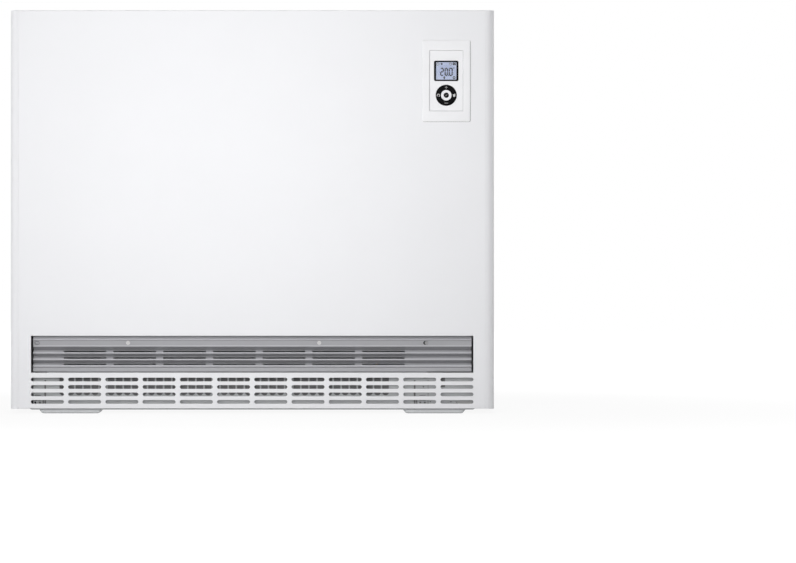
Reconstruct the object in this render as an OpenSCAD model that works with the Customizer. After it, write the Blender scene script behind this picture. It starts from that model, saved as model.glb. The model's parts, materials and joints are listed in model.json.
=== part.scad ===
// Storage heater: an insulated brick core over a fan drawer, with the air outlet and the controls in front.
// X runs to the right, Y from the front to the wall and Z up. The origin is on the floor, under the middle.

/* [Casing] */
// Width over the side panels
body_w = 780; // [640:5:1480]
// Height from the floor to the top cover
body_h = 650; // [540:5:780]
// Depth from the control frame's face to the wall
overall_d = 275; // [235:1:330]
// Gap that the wall brackets keep behind the casing
wall_gap = 25; // [20:1:35]
// Thickness of the casing sheet
sheet_t = 1; // [0.8:0.1:1.2]
// Radius of the side panels' front corners
corner_r = 12; // [8:0.5:12.5]
// Width of a side panel seen from the front
side_face_w = 13; // [13:0.5:18]
// Gap between neighbouring panels
panel_gap = 0.1; // [0.05:0.05:0.5]
// Depth of the front panel's folded edges
fold_d = 14; // [8:1:14.5]
// Bend radius of the casing sheet
bend_r = 2; // [1.5:0.1:3]
// Radius of the upright edges that meet the side panels
seam_r = 0.5; // [0.3:0.1:1.5]
// Depth of the shadow joint under the side panels' top caps
joint_d = 0.7; // [0.4:0.1:0.8]
// Height of the front panel's lower edge above the floor
front_z0 = 8.5; // [8:0.1:10]

/* [Base] */
// Height of the pressed feet
foot_h = 6; // [5:0.5:8]
// Width of a foot where it meets the base pan
foot_top_w = 101; // [80:1:130]
// Width of a foot on the floor
foot_floor_w = 91; // [70:1:120]
// Distance of a foot's middle from the side of the heater
foot_inset = 96.5; // [80:0.5:130]
// Distance of a foot's ends from the front and the back of the casing
foot_end_inset = 5.4; // [4:0.1:40]
// Length of the wide pads at both ends of a foot
foot_pad_l = 36; // [25:1:60]
// Width of a foot between its pads, on the floor
foot_rail_w = 46; // [30:1:70]
// Thickness of base pan, chassis and core tray
base_t = 1.5; // [1.2:0.1:2]
// Distance of the base pan's edge from the side of the heater
pan_inset = 31; // [28:0.5:40]
// Bend radius of the base pan
pan_bend_r = 4; // [3:0.5:5]
// Height of the base pan's folded edge
pan_edge_h = 8; // [7:0.5:10]

/* [Air outlet] */
// Distance of the outlet's ends from the sides of the heater
outlet_inset = 33.5; // [30:0.5:60]
// Web of the front panel between the intake slots and the outlet
outlet_web = 8; // [6:0.5:14]
// Height of the outlet opening
outlet_h = 59.5; // [55:0.5:75]
// Depth of the duct's floor below the outlet opening
duct_drop = 1.7; // [1.6:0.1:3]
// Height of the core tray above the outlet opening
tray_rise = 2.8; // [1.5:0.1:5]
// Depth of the collar round the outlet opening
collar_d = 3.5; // [2:0.5:4]
// How far the grille's ridges lie behind the front panel
grille_recess = 5; // [5:0.25:6.5]
// Depth of the grille's grooves
groove_d = 7; // [5:0.5:8]
// Pitch of the grille's ridges
ridge_pitch = 10.6; // [10:0.1:11]
// Height of a ridge's front lip
ridge_lip = 2.4; // [1:0.1:3]
// Sheet thickness of the grille
grille_t = 1.2; // [1:0.1:1.5]
// How far the grille's plain upper band lies behind its ridges
band_d = 1; // [0.5:0.1:2]
// Number of slotted grooves
groove_count = 3; // [1:1:3]
// Height of the plain band under the grooves
lower_band_h = 11.4; // [9:0.1:14]
// Length of an air slot in the grille
air_slot_l = 69.3; // [50:0.1:90]
// Width of an air slot, measured along the groove's sloping flank
air_slot_w = 5.1; // [2:0.1:6]
// Web between two air slots
air_slot_gap = 11; // [8:0.5:20]
// Plain stretch left of the air slots
slot_margin_left = 51.7; // [40:0.1:70]
// Plain stretch right of the air slots
slot_margin_right = 108; // [90:1:130]
// Gap at each end of the grille
grille_end_gap = 2.8; // [1.5:0.1:4]

/* [Grille locks] */
// Distance of the left lock from the outlet's left end
lock_left_inset = 156; // [140:1:170]
// Distance of the right lock from the outlet's right end
lock_right_inset = 248.6; // [200:0.2:260]
// Radius of a lock's head
lock_head_r = 3.3; // [2.8:0.1:4]
// Radius of a lock's shank
lock_shank_r = 2.4; // [2:0.1:2.6]
// Running gap round a lock's shank
lock_gap = 0.2; // [0.1:0.05:0.3]
// Length of a lock's cross bar
lock_bar_l = 10; // [8:0.5:11]
// Distance of the reset opening from the outlet's right end
reset_inset = 76.7; // [70:0.1:90]
// Length of the oval openings in the grille
oval_l = 8.2; // [7:0.1:10]
// Height of the oval openings in the grille
oval_h = 5.8; // [5:0.1:6.5]

/* [Intake slots] */
// Length of an intake slot in the front panel
intake_l = 53; // [40:1:60]
// Height of an intake slot
intake_h = 6; // [4:0.5:7]
// Pitch of the intake slots across the front
intake_pitch_x = 60; // [56:1:80]
// Pitch of the rows of intake slots
intake_pitch_z = 12; // [10:0.5:13]
// Rows of intake slots
intake_rows = 4; // [2:1:4]
// Height of the lowest row above the floor
intake_z0 = 18.7; // [17:0.1:20]
// Width of a slot in the intake plate behind them
plate_slot_w = 10.5; // [8:0.5:12]
// Pitch of the slots in the intake plate
plate_slot_pitch = 13.05; // [13:0.05:16]
// Height of the slots' lower end above the floor
plate_slot_z0 = 28.5; // [24:0.5:32]

/* [Fan] */
// Room above and below the scroll
fan_clearance = 3.25; // [2:0.25:6]
// Length of a fan blade towards the middle of the drum
blade_l = 6; // [5:0.5:7]
// Thickness of a fan blade
blade_t = 0.8; // [0.6:0.1:1]
// Number of blades round a drum
blade_count = 24; // [16:2:28]
// Depth of the fan shaft behind the front panel
fan_y = 50; // [48:1:56]
// Radius of the fan shaft
fan_shaft_r = 2; // [2:0.25:3]
// Running gap round the fan shaft
bearing_gap = 0.06; // [0.04:0.01:0.1]
// Gap between the drums and the scroll
scroll_gap = 2; // [1.5:0.25:3]
// Distance of the fan's left end plate from the side of the heater
fan_left_inset = 76.5; // [70:0.5:90]
// Room for the motor between the fan's right end plate and the chassis
motor_room = 82.5; // [60:0.5:100]

/* [Storage core] */
// Width of a storage brick
brick_w = 175; // [150:1:200]
// Height of a storage brick
brick_h = 105; // [90:1:125]
// Distance of the core's left side from the side of the heater
core_left_inset = 98; // [90:1:120]
// Room for the switchgear between the insulation and the right side of the heater
switch_room = 97; // [90:1:120]
// Thickness of the front insulation
front_wool_t = 36; // [25:1:45]
// Thickness of the rear insulation
rear_wool_t = 38; // [25:1:50]
// Thickness of the insulation under the core
floor_wool_t = 30; // [20:1:40]
// Least thickness of the insulation over the core
top_wool_t = 55; // [30:1:60]
// Least thickness of the insulation towards the switchgear
right_wool_t = 60; // [50:1:70]
// Length of an air channel in a brick
channel_l = 60; // [40:1:70]
// Width of an air channel in a brick
channel_w = 12; // [8:0.5:16]
// Distance of the air channels' middle from the front and rear of a brick
channel_inset = 23; // [14:1:30]
// Radius of a heating element's tube
element_r = 4.25; // [3:0.25:5]
// Half the distance between an element's two legs
element_bend_r = 30; // [24:1:36]
// Gap between an element and its groove
element_gap = 0.75; // [0.5:0.05:0.9]

/* [Mixing damper] */
// Distance of the partition in front of the rear air channels
partition_gap = 5; // [3:0.5:10]
// Distance of the damper shaft in front of the partition
damper_inset = 36; // [20:1:50]
// Length of the damper flap from its shaft to its free edge
flap_l = 41; // [30:1:50]
// Radius of the damper shaft
damper_r = 2.5; // [2:0.25:3]
// Running gap round the damper shaft
damper_gap = 0.06; // [0.04:0.01:0.1]
// Gap between the closed flap and the duct's floor
flap_gap = 0.3; // [0.2:0.05:0.5]

/* [Control unit] */
// Width of the control frame
control_w = 77.5; // [70:0.5:90]
// Height of the control frame
control_h = 131.7; // [120:0.1:150]
// How far the control frame stands out of the front panel
control_proud = 1.2; // [0.8:0.1:2]
// Distance of the control unit's middle from the right side of the heater
control_inset_x = 77.2; // [70:0.2:100]
// Distance of the control unit's middle from the top of the heater
control_inset_z = 113.9; // [90:0.1:140]
// Width of the control module inside the frame
module_w = 53.5; // [50:0.5:60]
// Height of the control module
module_h = 96.7; // [94:0.1:105]
// How far the module lies behind the frame's face
module_recess = 1.5; // [1.2:0.1:2]
// Gap round the control module
module_gap = 0.3; // [0.2:0.05:0.5]
// Width of the display window
window_w = 39.5; // [30:0.5:42]
// Height of the display window
window_h = 32.9; // [26:0.1:34]
// Width of the black border round the display
window_border = 2.6; // [1.5:0.1:4]
// Height of the display's middle above the module's middle
window_up = 16.1; // [14:0.1:20]
// Distance of the keys' middle below the module's middle
keys_down = 23.2; // [22:0.1:26]
// Outer radius of the ring key
ring_r = 16.7; // [14:0.1:17.5]
// Inner radius of the ring key
ring_hole_r = 8.9; // [7:0.1:10]
// Gap round the ring key and round the centre key
key_gap = 0.3; // [0.25:0.05:0.5]
// Height of the keys above the module's face
key_proud = 0.7; // [0.3:0.1:0.9]
// Thickness of the keys
key_t = 3; // [2.5:0.1:3.5]

/* [Wall and mains] */
// Distance between the two wall bolts
wall_bolt_pitch = 500; // [400:10:600]
// Distance of the wall bolts below the top of the heater
wall_bolt_down = 90; // [60:5:140]
// Radius of a wall bolt's hole
wall_bolt_r = 4.5; // [3:0.25:6]
// Radius of the mains cable's inlet
inlet_r = 9; // [6:0.5:11]
// Distance of the inlet from the right side of the heater
inlet_inset = 58; // [50:1:70]
// Height of the inlet above the floor
inlet_z = 90; // [70:1:140]

/* [Hidden] */
$fn = 48;

// Casing planes
front_y = -overall_d / 2 + control_proud;
back_y = overall_d / 2 - wall_gap;
side_x = body_w / 2;
seam_x = side_x - side_face_w;
pan_x = side_x - pan_inset;
base_z = foot_h + base_t;
panel_w = 2 * (seam_x - panel_gap);
side_return_d = fold_d - 2;
rear_flange_w = 18;
cover_edge_h = 10;
cover_front_y = front_y + fold_d + panel_gap;
screw_x = side_x - rear_flange_w / 2;
screw_end_z = 60;
grommet_wall = 3;
screw_rows = 4;
screw_r = 1.9;

// Heights of the outlet, the duct behind it and the core
intake_z1 = intake_z0 + (intake_rows - 1) * intake_pitch_z + intake_h / 2;
outlet_z0 = intake_z1 + outlet_web;
outlet_z1 = outlet_z0 + outlet_h;
duct_z = outlet_z0 - duct_drop;
tray_z = outlet_z1 + tray_rise;

// Planes behind the front panel, and the air gaps at the back and the top
front_room = 15;
inner_y = front_y + front_room;
chassis_y = inner_y + sheet_t;
tray_front_y = inner_y - 4;
wool_back_y = back_y - 3;
core_z0 = tray_z + base_t + floor_wool_t;
wool_top_z = body_h - cover_edge_h;

// Storage core
wool_x0 = -pan_x - 9;
sensor_r = 3;
sensor_l = 90;
wool_x1 = side_x - switch_room;
core_x0 = -side_x + core_left_inset;
core_columns = floor((wool_x1 - right_wool_t - core_x0) / brick_w + 0.001);
core_layers = floor((wool_top_z - top_wool_t - core_z0) / brick_h + 0.001);
core_x1 = core_x0 + core_columns * brick_w;
core_y0 = chassis_y + front_wool_t;
core_y1 = wool_back_y - rear_wool_t;
core_mid_y = (core_y0 + core_y1) / 2;
core_z1 = core_z0 + core_layers * brick_h;
sensor_z = core_z0 + 1.5 * brick_h;
front_channel_y = core_y0 + channel_inset;
rear_channel_y = core_y1 - channel_inset;
bend_x = core_x0 + 45;

// Chassis
chassis_x0 = -pan_x + pan_bend_r + 0.5;
chassis_x1 = wool_x1;
chassis_back_y = back_y - sheet_t - pan_bend_r - 0.5;
chassis_flange_w = 14;
plate_gap = 2.6;
bridge_h = 10.5;
riser_y = core_y1 - base_t;
partition_y = rear_channel_y - channel_w / 2 - partition_gap;

// Air outlet and grille
outlet_x = side_x - outlet_inset;
ridge_y = front_y + grille_recess;
band_z1 = outlet_z1 - 5.6;
band_y = ridge_y + band_d;
first_ridge_z = outlet_z0 + lower_band_h + (groove_count - 1) * ridge_pitch;
band_z0 = first_ridge_z + ridge_pitch - ridge_lip / 2;
oval_z = (band_z0 + band_z1) / 2;
tray_lip_z = band_z0 - 1;
grille_x = outlet_x - grille_end_gap;
air_slot_pitch = air_slot_l + air_slot_gap;
air_slot_room = 2 * outlet_x - slot_margin_left - slot_margin_right;
air_slot_count = floor((air_slot_room + air_slot_gap) / air_slot_pitch);
lock_left_x = -outlet_x + lock_left_inset;
lock_right_x = outlet_x - lock_right_inset;
reset_x = outlet_x - reset_inset;
pin_x = reset_x + 1.2;
valley_rise = 3;
hem_d = 4.5;
toe_d = 2.8;
oval_left_x = -outlet_x + 8.8;
reset_r = 2.8;
lock_bar_w = 4;

// Intake
intake_columns = floor((2 * outlet_x + intake_pitch_x - intake_l) / intake_pitch_x);
plate_x0 = chassis_x0 + 20.5;
plate_x1 = chassis_x1 - 32.4;

// Fan
shaft_y = front_y + fan_y;
fan_z = (base_z + duct_z) / 2;
scroll_r = (duct_z - base_z) / 2 - fan_clearance - sheet_t;
drum_r = scroll_r - scroll_gap;
fan_plate_t = 1.5;
fan_plate_y = chassis_y + base_t + 4;
scroll_floor_d = 58;
fan_x0 = -side_x + fan_left_inset;
fan_x1 = chassis_x1 - motor_room;
fan_mid_x = (fan_x0 + fan_x1) / 2;
drum_gap = 7;
bush_r = 5;
bush_collar_r = 7;
bush_l = 6;
seat_gap = 0.02;
motor_x0 = fan_x1 + 6;
motor_l = 20;
armature_r = 12;
armature_gap = 0.3;
stack_y0 = -20;
stack_h = 42;
window_y0 = 15;
window_half = 15;
limb_y0 = 23;
limb_y1 = 30;

// Mixing damper
damper_shaft_y = partition_y - damper_inset;
damper_shaft_z = duct_z + base_t + flap_gap + 3.7;
flap_t = 1;
knuckle_r = 3.6;
flap_x0 = fan_x0 + 56;
flap_x1 = fan_x1 - 24;
coil_core_r = 3.4;
coil_strip = 0.8;
coil_step = 1;
coil_turns = 5;
coil_w = 5;
coil_x = flap_x1 + 11;

// Switchgear
switch_x = wool_x1;
gear_x = switch_x + base_t;
board_t = 1.6;

// Control unit
control_x = side_x - control_inset_x;
control_z = body_h - control_inset_z;
module_y = front_y - control_proud + module_recess;
window_z = control_z + window_up;
keys_z = control_z - keys_down;
spigot_wall = 1.7;
spigot_gap = 0.25;
spigot_w = module_w + 2 * (module_gap + spigot_wall);
spigot_h = module_h + 2 * (module_gap + spigot_wall);
housing_t = 2;
housing_wall = 1.5;
housing_d = 13.5;
window_r = 2.5;
window_gap = 0.1;
window_y = module_y + 0.1;
window_t = 1.2;
rock_gap = 0.75;
rib_gap = 0.1;
carrier_y = module_y - key_proud + key_t + rock_gap;
carrier_t = 0.8;
carrier_r = ring_r + 1.8;
switch_y = carrier_y + carrier_t + rock_gap;
board_y = module_y + 7.5;

// A box between two corners
module box(x0, x1, y0, y1, z0, z1) {
    translate([x0, y0, z0]) cube([x1 - x0, y1 - y0, z1 - z0]);
}

// Extrudes a (y, z) profile from x0 to x1
module extrude_x(x0, x1) {
    translate([x0, 0, 0]) rotate([90, 0, 90]) linear_extrude(x1 - x0) children();
}

// Extrudes an (x, z) profile from y0 to y1
module extrude_y(y0, y1) {
    translate([0, y1, 0]) rotate([90, 0, 0]) linear_extrude(y1 - y0) children();
}

// Extrudes an (x, y) profile from z0 to z1
module extrude_z(z0, z1) {
    translate([0, 0, z0]) linear_extrude(z1 - z0) children();
}

// A round bar or bore along X through the point (y, z)
module bar_x(x0, x1, y, z, r) {
    translate([x0, y, z]) rotate([0, 90, 0]) cylinder(h = x1 - x0, r = r);
}

// A round bar or bore along Y through the point (x, z)
module bar_y(y0, y1, x, z, r) {
    translate([x, y0, z]) rotate([-90, 0, 0]) cylinder(h = y1 - y0, r = r);
}

module rounded_rect(w, h, r) {
    square([w - 2 * r, h], center = true);
    square([w, h - 2 * r], center = true);
    for (sx = [-1, 1], sy = [-1, 1]) {
        translate([sx * (w / 2 - r), sy * (h / 2 - r)]) circle(r);
    }
}

// An oval of length l and width d along the first axis
module stadium(l, d) {
    square([l - d, d], center = true);
    for (s = [-1, 1]) {
        translate([s * (l - d) / 2, 0]) circle(d / 2);
    }
}

// A rectangle whose two corners at y = 0 are rounded
module folded_outline(w, d, r) {
    translate([-w / 2 + r, 0]) square([w - 2 * r, d]);
    translate([-w / 2, r]) square([w, d - r]);
    for (s = [-1, 1]) {
        translate([s * (w / 2 - r), r]) circle(r);
    }
}

// A block whose y = 0 face has edges rounded by side_r at its sides and by end_r at its ends
module folded_block(w, h, d, side_r, end_r) {
    intersection() {
        translate([0, 0, -h / 2]) linear_extrude(h) folded_outline(w, d, side_r);
        translate([-w / 2, 0, 0]) rotate([90, 0, 90]) linear_extrude(w) rotate(90) mirror([0, 1])
            folded_outline(h, d, end_r);
    }
}

// Sheet metal folded on four sides: a flat face at y = 0 and edges d deep, open to the back
module folded_tray(w, h, d, side_r, end_r, t) {
    least_r = 0.1;
    difference() {
        folded_block(w, h, d, side_r, end_r);
        translate([0, t, 0])
            folded_block(w - 2 * t, h - 2 * t, d, max(side_r - t, least_r), max(end_r - t, least_r));
    }
}

// ---------------------------------------------------------------- base and chassis

module base_pan() {
    pan_y0 = front_y + sheet_t + panel_gap;
    pan_y1 = back_y - sheet_t;
    color("silver")
        translate([0, (pan_y0 + pan_y1) / 2, foot_h]) rotate([90, 0, 0])
            folded_tray(2 * pan_x, pan_y1 - pan_y0, pan_edge_h, pan_bend_r, pan_bend_r, base_t);
}

// A foot's outer form, or its hollow at wall: two wide pads joined by a rail, with sloping sides
module foot_form(wall, z0, z1) {
    corner_r = 8;
    slope = foot_top_w - foot_floor_w;
    y0 = front_y + foot_end_inset;
    y1 = back_y - foot_end_inset;
    for (y = [y0 + foot_pad_l / 2, y1 - foot_pad_l / 2]) {
        intersection() {
            extrude_y(y - foot_pad_l, y + foot_pad_l) sloped_sides(foot_floor_w - 2 * wall, slope, z0, z1);
            extrude_z(z0, z1) translate([0, y])
                rounded_rect(foot_top_w + 1 - 2 * wall, foot_pad_l - 2 * wall, corner_r - wall);
        }
    }
    extrude_y(y0 + foot_pad_l / 2, y1 - foot_pad_l / 2) sloped_sides(foot_rail_w - 2 * wall, slope, z0, z1);
}

// A section w wide at z0 and wider by slope at z1
module sloped_sides(w, slope, z0, z1) {
    polygon([[-w / 2, z0], [w / 2, z0], [(w + slope) / 2, z1], [-(w + slope) / 2, z1]]);
}

// One pressed foot, hollow and open under the base pan
module foot() {
    difference() {
        foot_form(0, 0, foot_h);
        foot_form(2.5, base_t, foot_h + 1);
    }
}

module foot_left() {
    color("darkgray") translate([-side_x + foot_inset, 0, 0]) foot();
}

module foot_right() {
    color("darkgray") translate([side_x - foot_inset, 0, 0]) foot();
}

// A box from web_x to edge_x, whichever of the two is left
module flange(web_x, edge_x, y0, y1, z0, z1) {
    box(min(web_x, edge_x), max(web_x, edge_x), y0, y1, z0, z1);
}

// A vertical channel from pan to core tray, with a wide front flange from the web towards plate_x
module chassis_side(web_x, plate_x) {
    inward = sign(plate_x - web_x);
    web_edge = web_x + inward * base_t;
    narrow_edge = web_x + inward * chassis_flange_w;
    flange(web_x, web_edge, chassis_y, chassis_back_y, base_z, tray_z);
    flange(web_x, plate_x - inward * plate_gap, chassis_y, chassis_y + base_t, base_z, duct_z);
    flange(web_x, plate_x, chassis_y, chassis_y + base_t, duct_z - bridge_h, duct_z);
    flange(web_x, narrow_edge, chassis_y, chassis_back_y, tray_z - base_t, tray_z);
    flange(web_x, narrow_edge, chassis_back_y - base_t, chassis_back_y, base_z, tray_z);
}

// An opening from z0 to z1 through a front flange of the chassis
module flange_cut(x0, x1, z0, z1) {
    box(x0, x1, chassis_y - 1, chassis_y + base_t + 1, z0, z1);
}

// A round hole through a front flange of the chassis
module flange_hole(x, z, r) {
    bar_y(chassis_y - 1, chassis_y + base_t + 1, x, z, r);
}

// The fan drawer's catch in a chassis flange: two square holes pitch apart and two slits over them
module catch_openings(x, pitch) {
    hole = 3;
    hole_z = base_z + 8;
    slit_h = 0.9;
    for (i = [0, 1]) {
        flange_cut(x + i * pitch, x + i * pitch + hole, hole_z, hole_z + hole);
    }
    for (z = [hole_z + 4.8, hole_z + 12.8]) {
        flange_cut(x, x + pitch + hole, z, z + slit_h);
    }
}

module chassis_left() {
    color("gainsboro") difference() {
        chassis_side(chassis_x0, plate_x0);
        catch_openings(chassis_x0 + base_t + 0.2, 7.3);
        flange_cut(plate_x0 - 5.6, plate_x0 - 3.6, base_z, base_z + 16);
    }
}

module chassis_right() {
    slit_x = plate_x1 + 22.6;
    color("gainsboro") difference() {
        chassis_side(chassis_x1, plate_x1);
        catch_openings(plate_x1 + 9, 7.2);
        flange_cut(plate_x1 + 3.6, plate_x1 + 5.6, base_z, base_z + 16);
        flange_cut(slit_x, slit_x + 0.8, base_z, duct_z - bridge_h);
        flange_cut(plate_x1 + 15.5, plate_x1 + 19.5, duct_z - 7.5, duct_z - 6.7);
        flange_hole(plate_x1 + 15.5, base_z + 35, 1.2);
        flange_hole(slit_x + 4.4, base_z + 11, 1);
    }
}

// Air channels of one row of bricks, as openings in (x, y)
module channel_row(y) {
    for (c = [0:core_columns - 1], s = [-1, 1]) {
        translate([core_x0 + (c + 0.5) * brick_w + s * brick_w / 4, y]) stadium(channel_l, channel_w);
    }
}

module air_channels(z0, z1) {
    extrude_z(z0, z1) {
        channel_row(front_channel_y);
        channel_row(rear_channel_y);
    }
}

module core_tray() {
    color("silver") difference() {
        union() {
            box(wool_x0, chassis_x1, tray_front_y, wool_back_y, tray_z, tray_z + base_t);
            box(chassis_x0 + 1, chassis_x1 - 1, tray_front_y, tray_front_y + base_t, tray_lip_z, tray_z);
        }
        air_channels(tray_z - 1, tray_z + base_t + 1);
        extrude_y(tray_front_y - 1, tray_front_y + base_t + 1) for (x = [lock_left_x, lock_right_x]) {
            translate([x, oval_z]) {
                stadium(lock_bar_l + 1, lock_bar_w + 0.8);
                circle(lock_shank_r + lock_gap);
            }
        }
        bar_y(tray_front_y - 1, tray_front_y + base_t + 1, pin_x, oval_z, reset_r + 0.6);
    }
}

// A wall across the chassis from height z0 to the core tray, notched round the chassis' top flanges
module cross_wall(y, z0) {
    box(chassis_x0 + base_t, chassis_x1 - base_t, y, y + base_t, z0, tray_z - base_t);
    box(chassis_x0 + chassis_flange_w, chassis_x1 - chassis_flange_w, y, y + base_t, z0, tray_z);
}

module riser_wall() {
    color("silver") cross_wall(riser_y, base_z);
}

module duct_floor() {
    port_rim = 6;
    well_r = coil_core_r + (coil_turns + 1) * coil_step + 2;
    color("silver") difference() {
        union() {
            box(chassis_x0 + base_t, chassis_x1 - base_t, inner_y - 1, partition_y + base_t, duct_z,
                duct_z + base_t);
            cross_wall(partition_y, duct_z);
        }
        box(flap_x0 + port_rim, flap_x1 - port_rim, damper_shaft_y - flap_l + port_rim,
            damper_shaft_y - port_rim, duct_z - 1, duct_z + base_t + 1);
        box(coil_x - 2, coil_x + coil_w + 2, damper_shaft_y - well_r, damper_shaft_y + well_r, duct_z - 1,
            duct_z + base_t + 1);
    }
}

module intake_plate() {
    slot_x0 = fan_x0 + 1.2;
    slot_x1 = fan_x1 + 12;
    slots = floor((slot_x1 - slot_x0 + plate_slot_pitch - plate_slot_w) / plate_slot_pitch);
    slot_top = duct_z - 1.2;
    color("gainsboro") difference() {
        box(plate_x0, plate_x1, chassis_y, chassis_y + base_t, base_z, duct_z);
        extrude_y(chassis_y - 1, chassis_y + base_t + 1) for (i = [0:slots - 1]) {
            translate([slot_x0 + plate_slot_w / 2 + i * plate_slot_pitch, (plate_slot_z0 + slot_top) / 2])
                rotate(90) stadium(slot_top - plate_slot_z0, plate_slot_w);
        }
    }
}

module lint_filter() {
    filter_x0 = fan_x0 - 4;
    filter_x1 = fan_x1 + 16;
    filter_y0 = chassis_y + base_t + 0.3;
    filter_y1 = filter_y0 + 3;
    filter_z0 = base_z + 0.5;
    filter_z1 = duct_z - 0.5;
    mesh_t = 0.5;
    rim = 5;
    bar_w = 2;
    bars = 5;
    bay = (filter_x1 - filter_x0) / (bars + 1);
    color("dimgray") {
        difference() {
            box(filter_x0, filter_x1, filter_y0, filter_y1, filter_z0, filter_z1);
            box(filter_x0 + rim, filter_x1 - rim, filter_y0 + mesh_t, filter_y1 + 1, filter_z0 + rim,
                filter_z1 - rim);
        }
        for (i = [1:bars]) {
            x = filter_x0 + i * bay;
            box(x - bar_w / 2, x + bar_w / 2, filter_y0 + mesh_t / 2, filter_y1, filter_z0 + 1,
                filter_z1 - 1);
        }
    }
}

// ---------------------------------------------------------------- fan drawer

// A wedge of the plane from angle a0 to a1, in steps of at most 60 degrees
module sector(a0, a1, r) {
    steps = ceil((a1 - a0) / 60);
    step = (a1 - a0) / steps;
    polygon(concat([[0, 0]], [for (i = [0:steps]) [r * cos(a0 + i * step), r * sin(a0 + i * step)]]));
}

// An arc of sheet round the fan shaft, in (y, z)
module scroll_arc(a0, a1) {
    intersection() {
        difference() {
            circle(scroll_r + sheet_t);
            circle(scroll_r);
        }
        sector(a0, a1, 3 * scroll_r);
    }
}

// The scroll between two end plates: the curved floor under a drum and the tongue over it
module fan_scroll(x0, x1) {
    floor_arc = [215, 270];
    tongue_arc = [35, 82];
    tongue_y = (scroll_r + sheet_t / 2) * cos(tongue_arc[1] - 2);
    extrude_x(x0, x1) translate([shaft_y, fan_z]) {
        scroll_arc(floor_arc[0], floor_arc[1]);
        translate([0, -scroll_r - sheet_t]) square([scroll_floor_d, sheet_t]);
        scroll_arc(tongue_arc[0], tongue_arc[1]);
        translate([tongue_y, scroll_r]) square([sheet_t, duct_z - fan_z - scroll_r]);
    }
}

module fan_scrolls() {
    color("lightgray") {
        fan_scroll(fan_x0 + fan_plate_t / 2, fan_mid_x - fan_plate_t / 2);
        fan_scroll(fan_mid_x + fan_plate_t / 2, fan_x1 - fan_plate_t / 2);
    }
}

module fan_plates() {
    color("lightgray") for (x = [fan_x0, fan_mid_x, fan_x1]) {
        extrude_x(x - fan_plate_t / 2, x + fan_plate_t / 2) difference() {
            translate([fan_plate_y, base_z])
                square([shaft_y + scroll_floor_d - fan_plate_y, duct_z - base_z]);
            translate([shaft_y, fan_z]) circle(bush_r + seat_gap);
        }
    }
}

module fan_bearings() {
    color("darkgoldenrod") for (x = [fan_x0, fan_mid_x, fan_x1]) {
        difference() {
            union() {
                bar_x(x - bush_l / 2, x + bush_l / 2, shaft_y, fan_z, bush_r);
                bar_x(x + fan_plate_t / 2, x + fan_plate_t / 2 + 1, shaft_y, fan_z, bush_collar_r);
            }
            bar_x(x - bush_l, x + bush_l, shaft_y, fan_z, fan_shaft_r + bearing_gap);
        }
    }
}

module fan_shaft() {
    color("silver") bar_x(fan_x0 - 4, motor_x0 + motor_l + 4, shaft_y, fan_z, fan_shaft_r);
}

// One forward-curved blade in (y, z), between the drum's inner and outer radius
module blade() {
    curve_r = 1.1 * blade_l;
    mid_r = drum_r - blade_l / 2;
    intersection() {
        difference() {
            translate([mid_r, -0.75 * curve_r]) circle(curve_r);
            translate([mid_r, -0.75 * curve_r]) circle(curve_r - blade_t);
        }
        difference() {
            circle(drum_r - 0.5);
            circle(drum_r - blade_l);
        }
        translate([0, -0.75 * curve_r]) square([2 * drum_r, 2 * curve_r]);
    }
}

// A drum of blades between discs, from x0 to x1
module fan_drum(x0, x1) {
    disc_t = 1.2;
    hub_l = 2;
    hub_r = 3 * fan_shaft_r;
    blade_inset = disc_t / 3;
    stiffener_pitch = 80;
    stiffeners = floor((x1 - x0) / stiffener_pitch);
    for (i = [0:blade_count - 1]) {
        extrude_x(x0 + blade_inset, x1 - blade_inset) translate([shaft_y, fan_z])
            rotate(i * 360 / blade_count) blade();
    }
    difference() {
        union() {
            bar_x(x0, x0 + disc_t, shaft_y, fan_z, drum_r);
            bar_x(x1 - disc_t, x1, shaft_y, fan_z, drum_r);
            bar_x(x0 - hub_l, x0 + disc_t, shaft_y, fan_z, hub_r);
            bar_x(x1 - disc_t, x1 + hub_l, shaft_y, fan_z, hub_r);
            for (i = [1:stiffeners]) {
                x = x0 + (x1 - x0) * i / (stiffeners + 1);
                difference() {
                    bar_x(x, x + disc_t, shaft_y, fan_z, drum_r);
                    bar_x(x - 1, x + disc_t + 1, shaft_y, fan_z, drum_r - blade_l - 1);
                }
            }
        }
        bar_x(x0 - 5, x1 + 5, shaft_y, fan_z, fan_shaft_r + seat_gap);
    }
}

module fan_drum_left() {
    color("gray") fan_drum(fan_x0 + drum_gap, fan_mid_x - drum_gap);
}

module fan_drum_right() {
    color("gray") fan_drum(fan_mid_x + drum_gap, fan_x1 - drum_gap);
}

// Shaded-pole motor: lamination stack with a bore for the armature and a limb at the back for the coil
module motor_stator() {
    color("slategray") {
        extrude_x(motor_x0, motor_x0 + motor_l) translate([shaft_y, fan_z]) difference() {
            translate([stack_y0, -stack_h / 2]) square([limb_y1 - stack_y0, stack_h]);
            circle(armature_r + armature_gap);
            translate([window_y0, -window_half]) square([limb_y0 - window_y0, 2 * window_half]);
        }
        for (y = [stack_y0 + 5, window_y0 - 4], z = [-17, 17]) {
            bar_x(fan_x1 + fan_plate_t / 2, motor_x0, shaft_y + y, fan_z + z, 2.5);
        }
    }
}

// The winding round the stack's rear limb
module motor_coil() {
    winding = 8;
    end_turn = 4;
    color("peru") difference() {
        box(motor_x0 - end_turn, motor_x0 + motor_l + end_turn, shaft_y + window_y0,
            shaft_y + limb_y1 + winding, fan_z - window_half, fan_z + window_half);
        box(motor_x0, motor_x0 + motor_l, shaft_y + limb_y0, shaft_y + limb_y1, fan_z - window_half - 1,
            fan_z + window_half + 1);
    }
}

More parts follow.
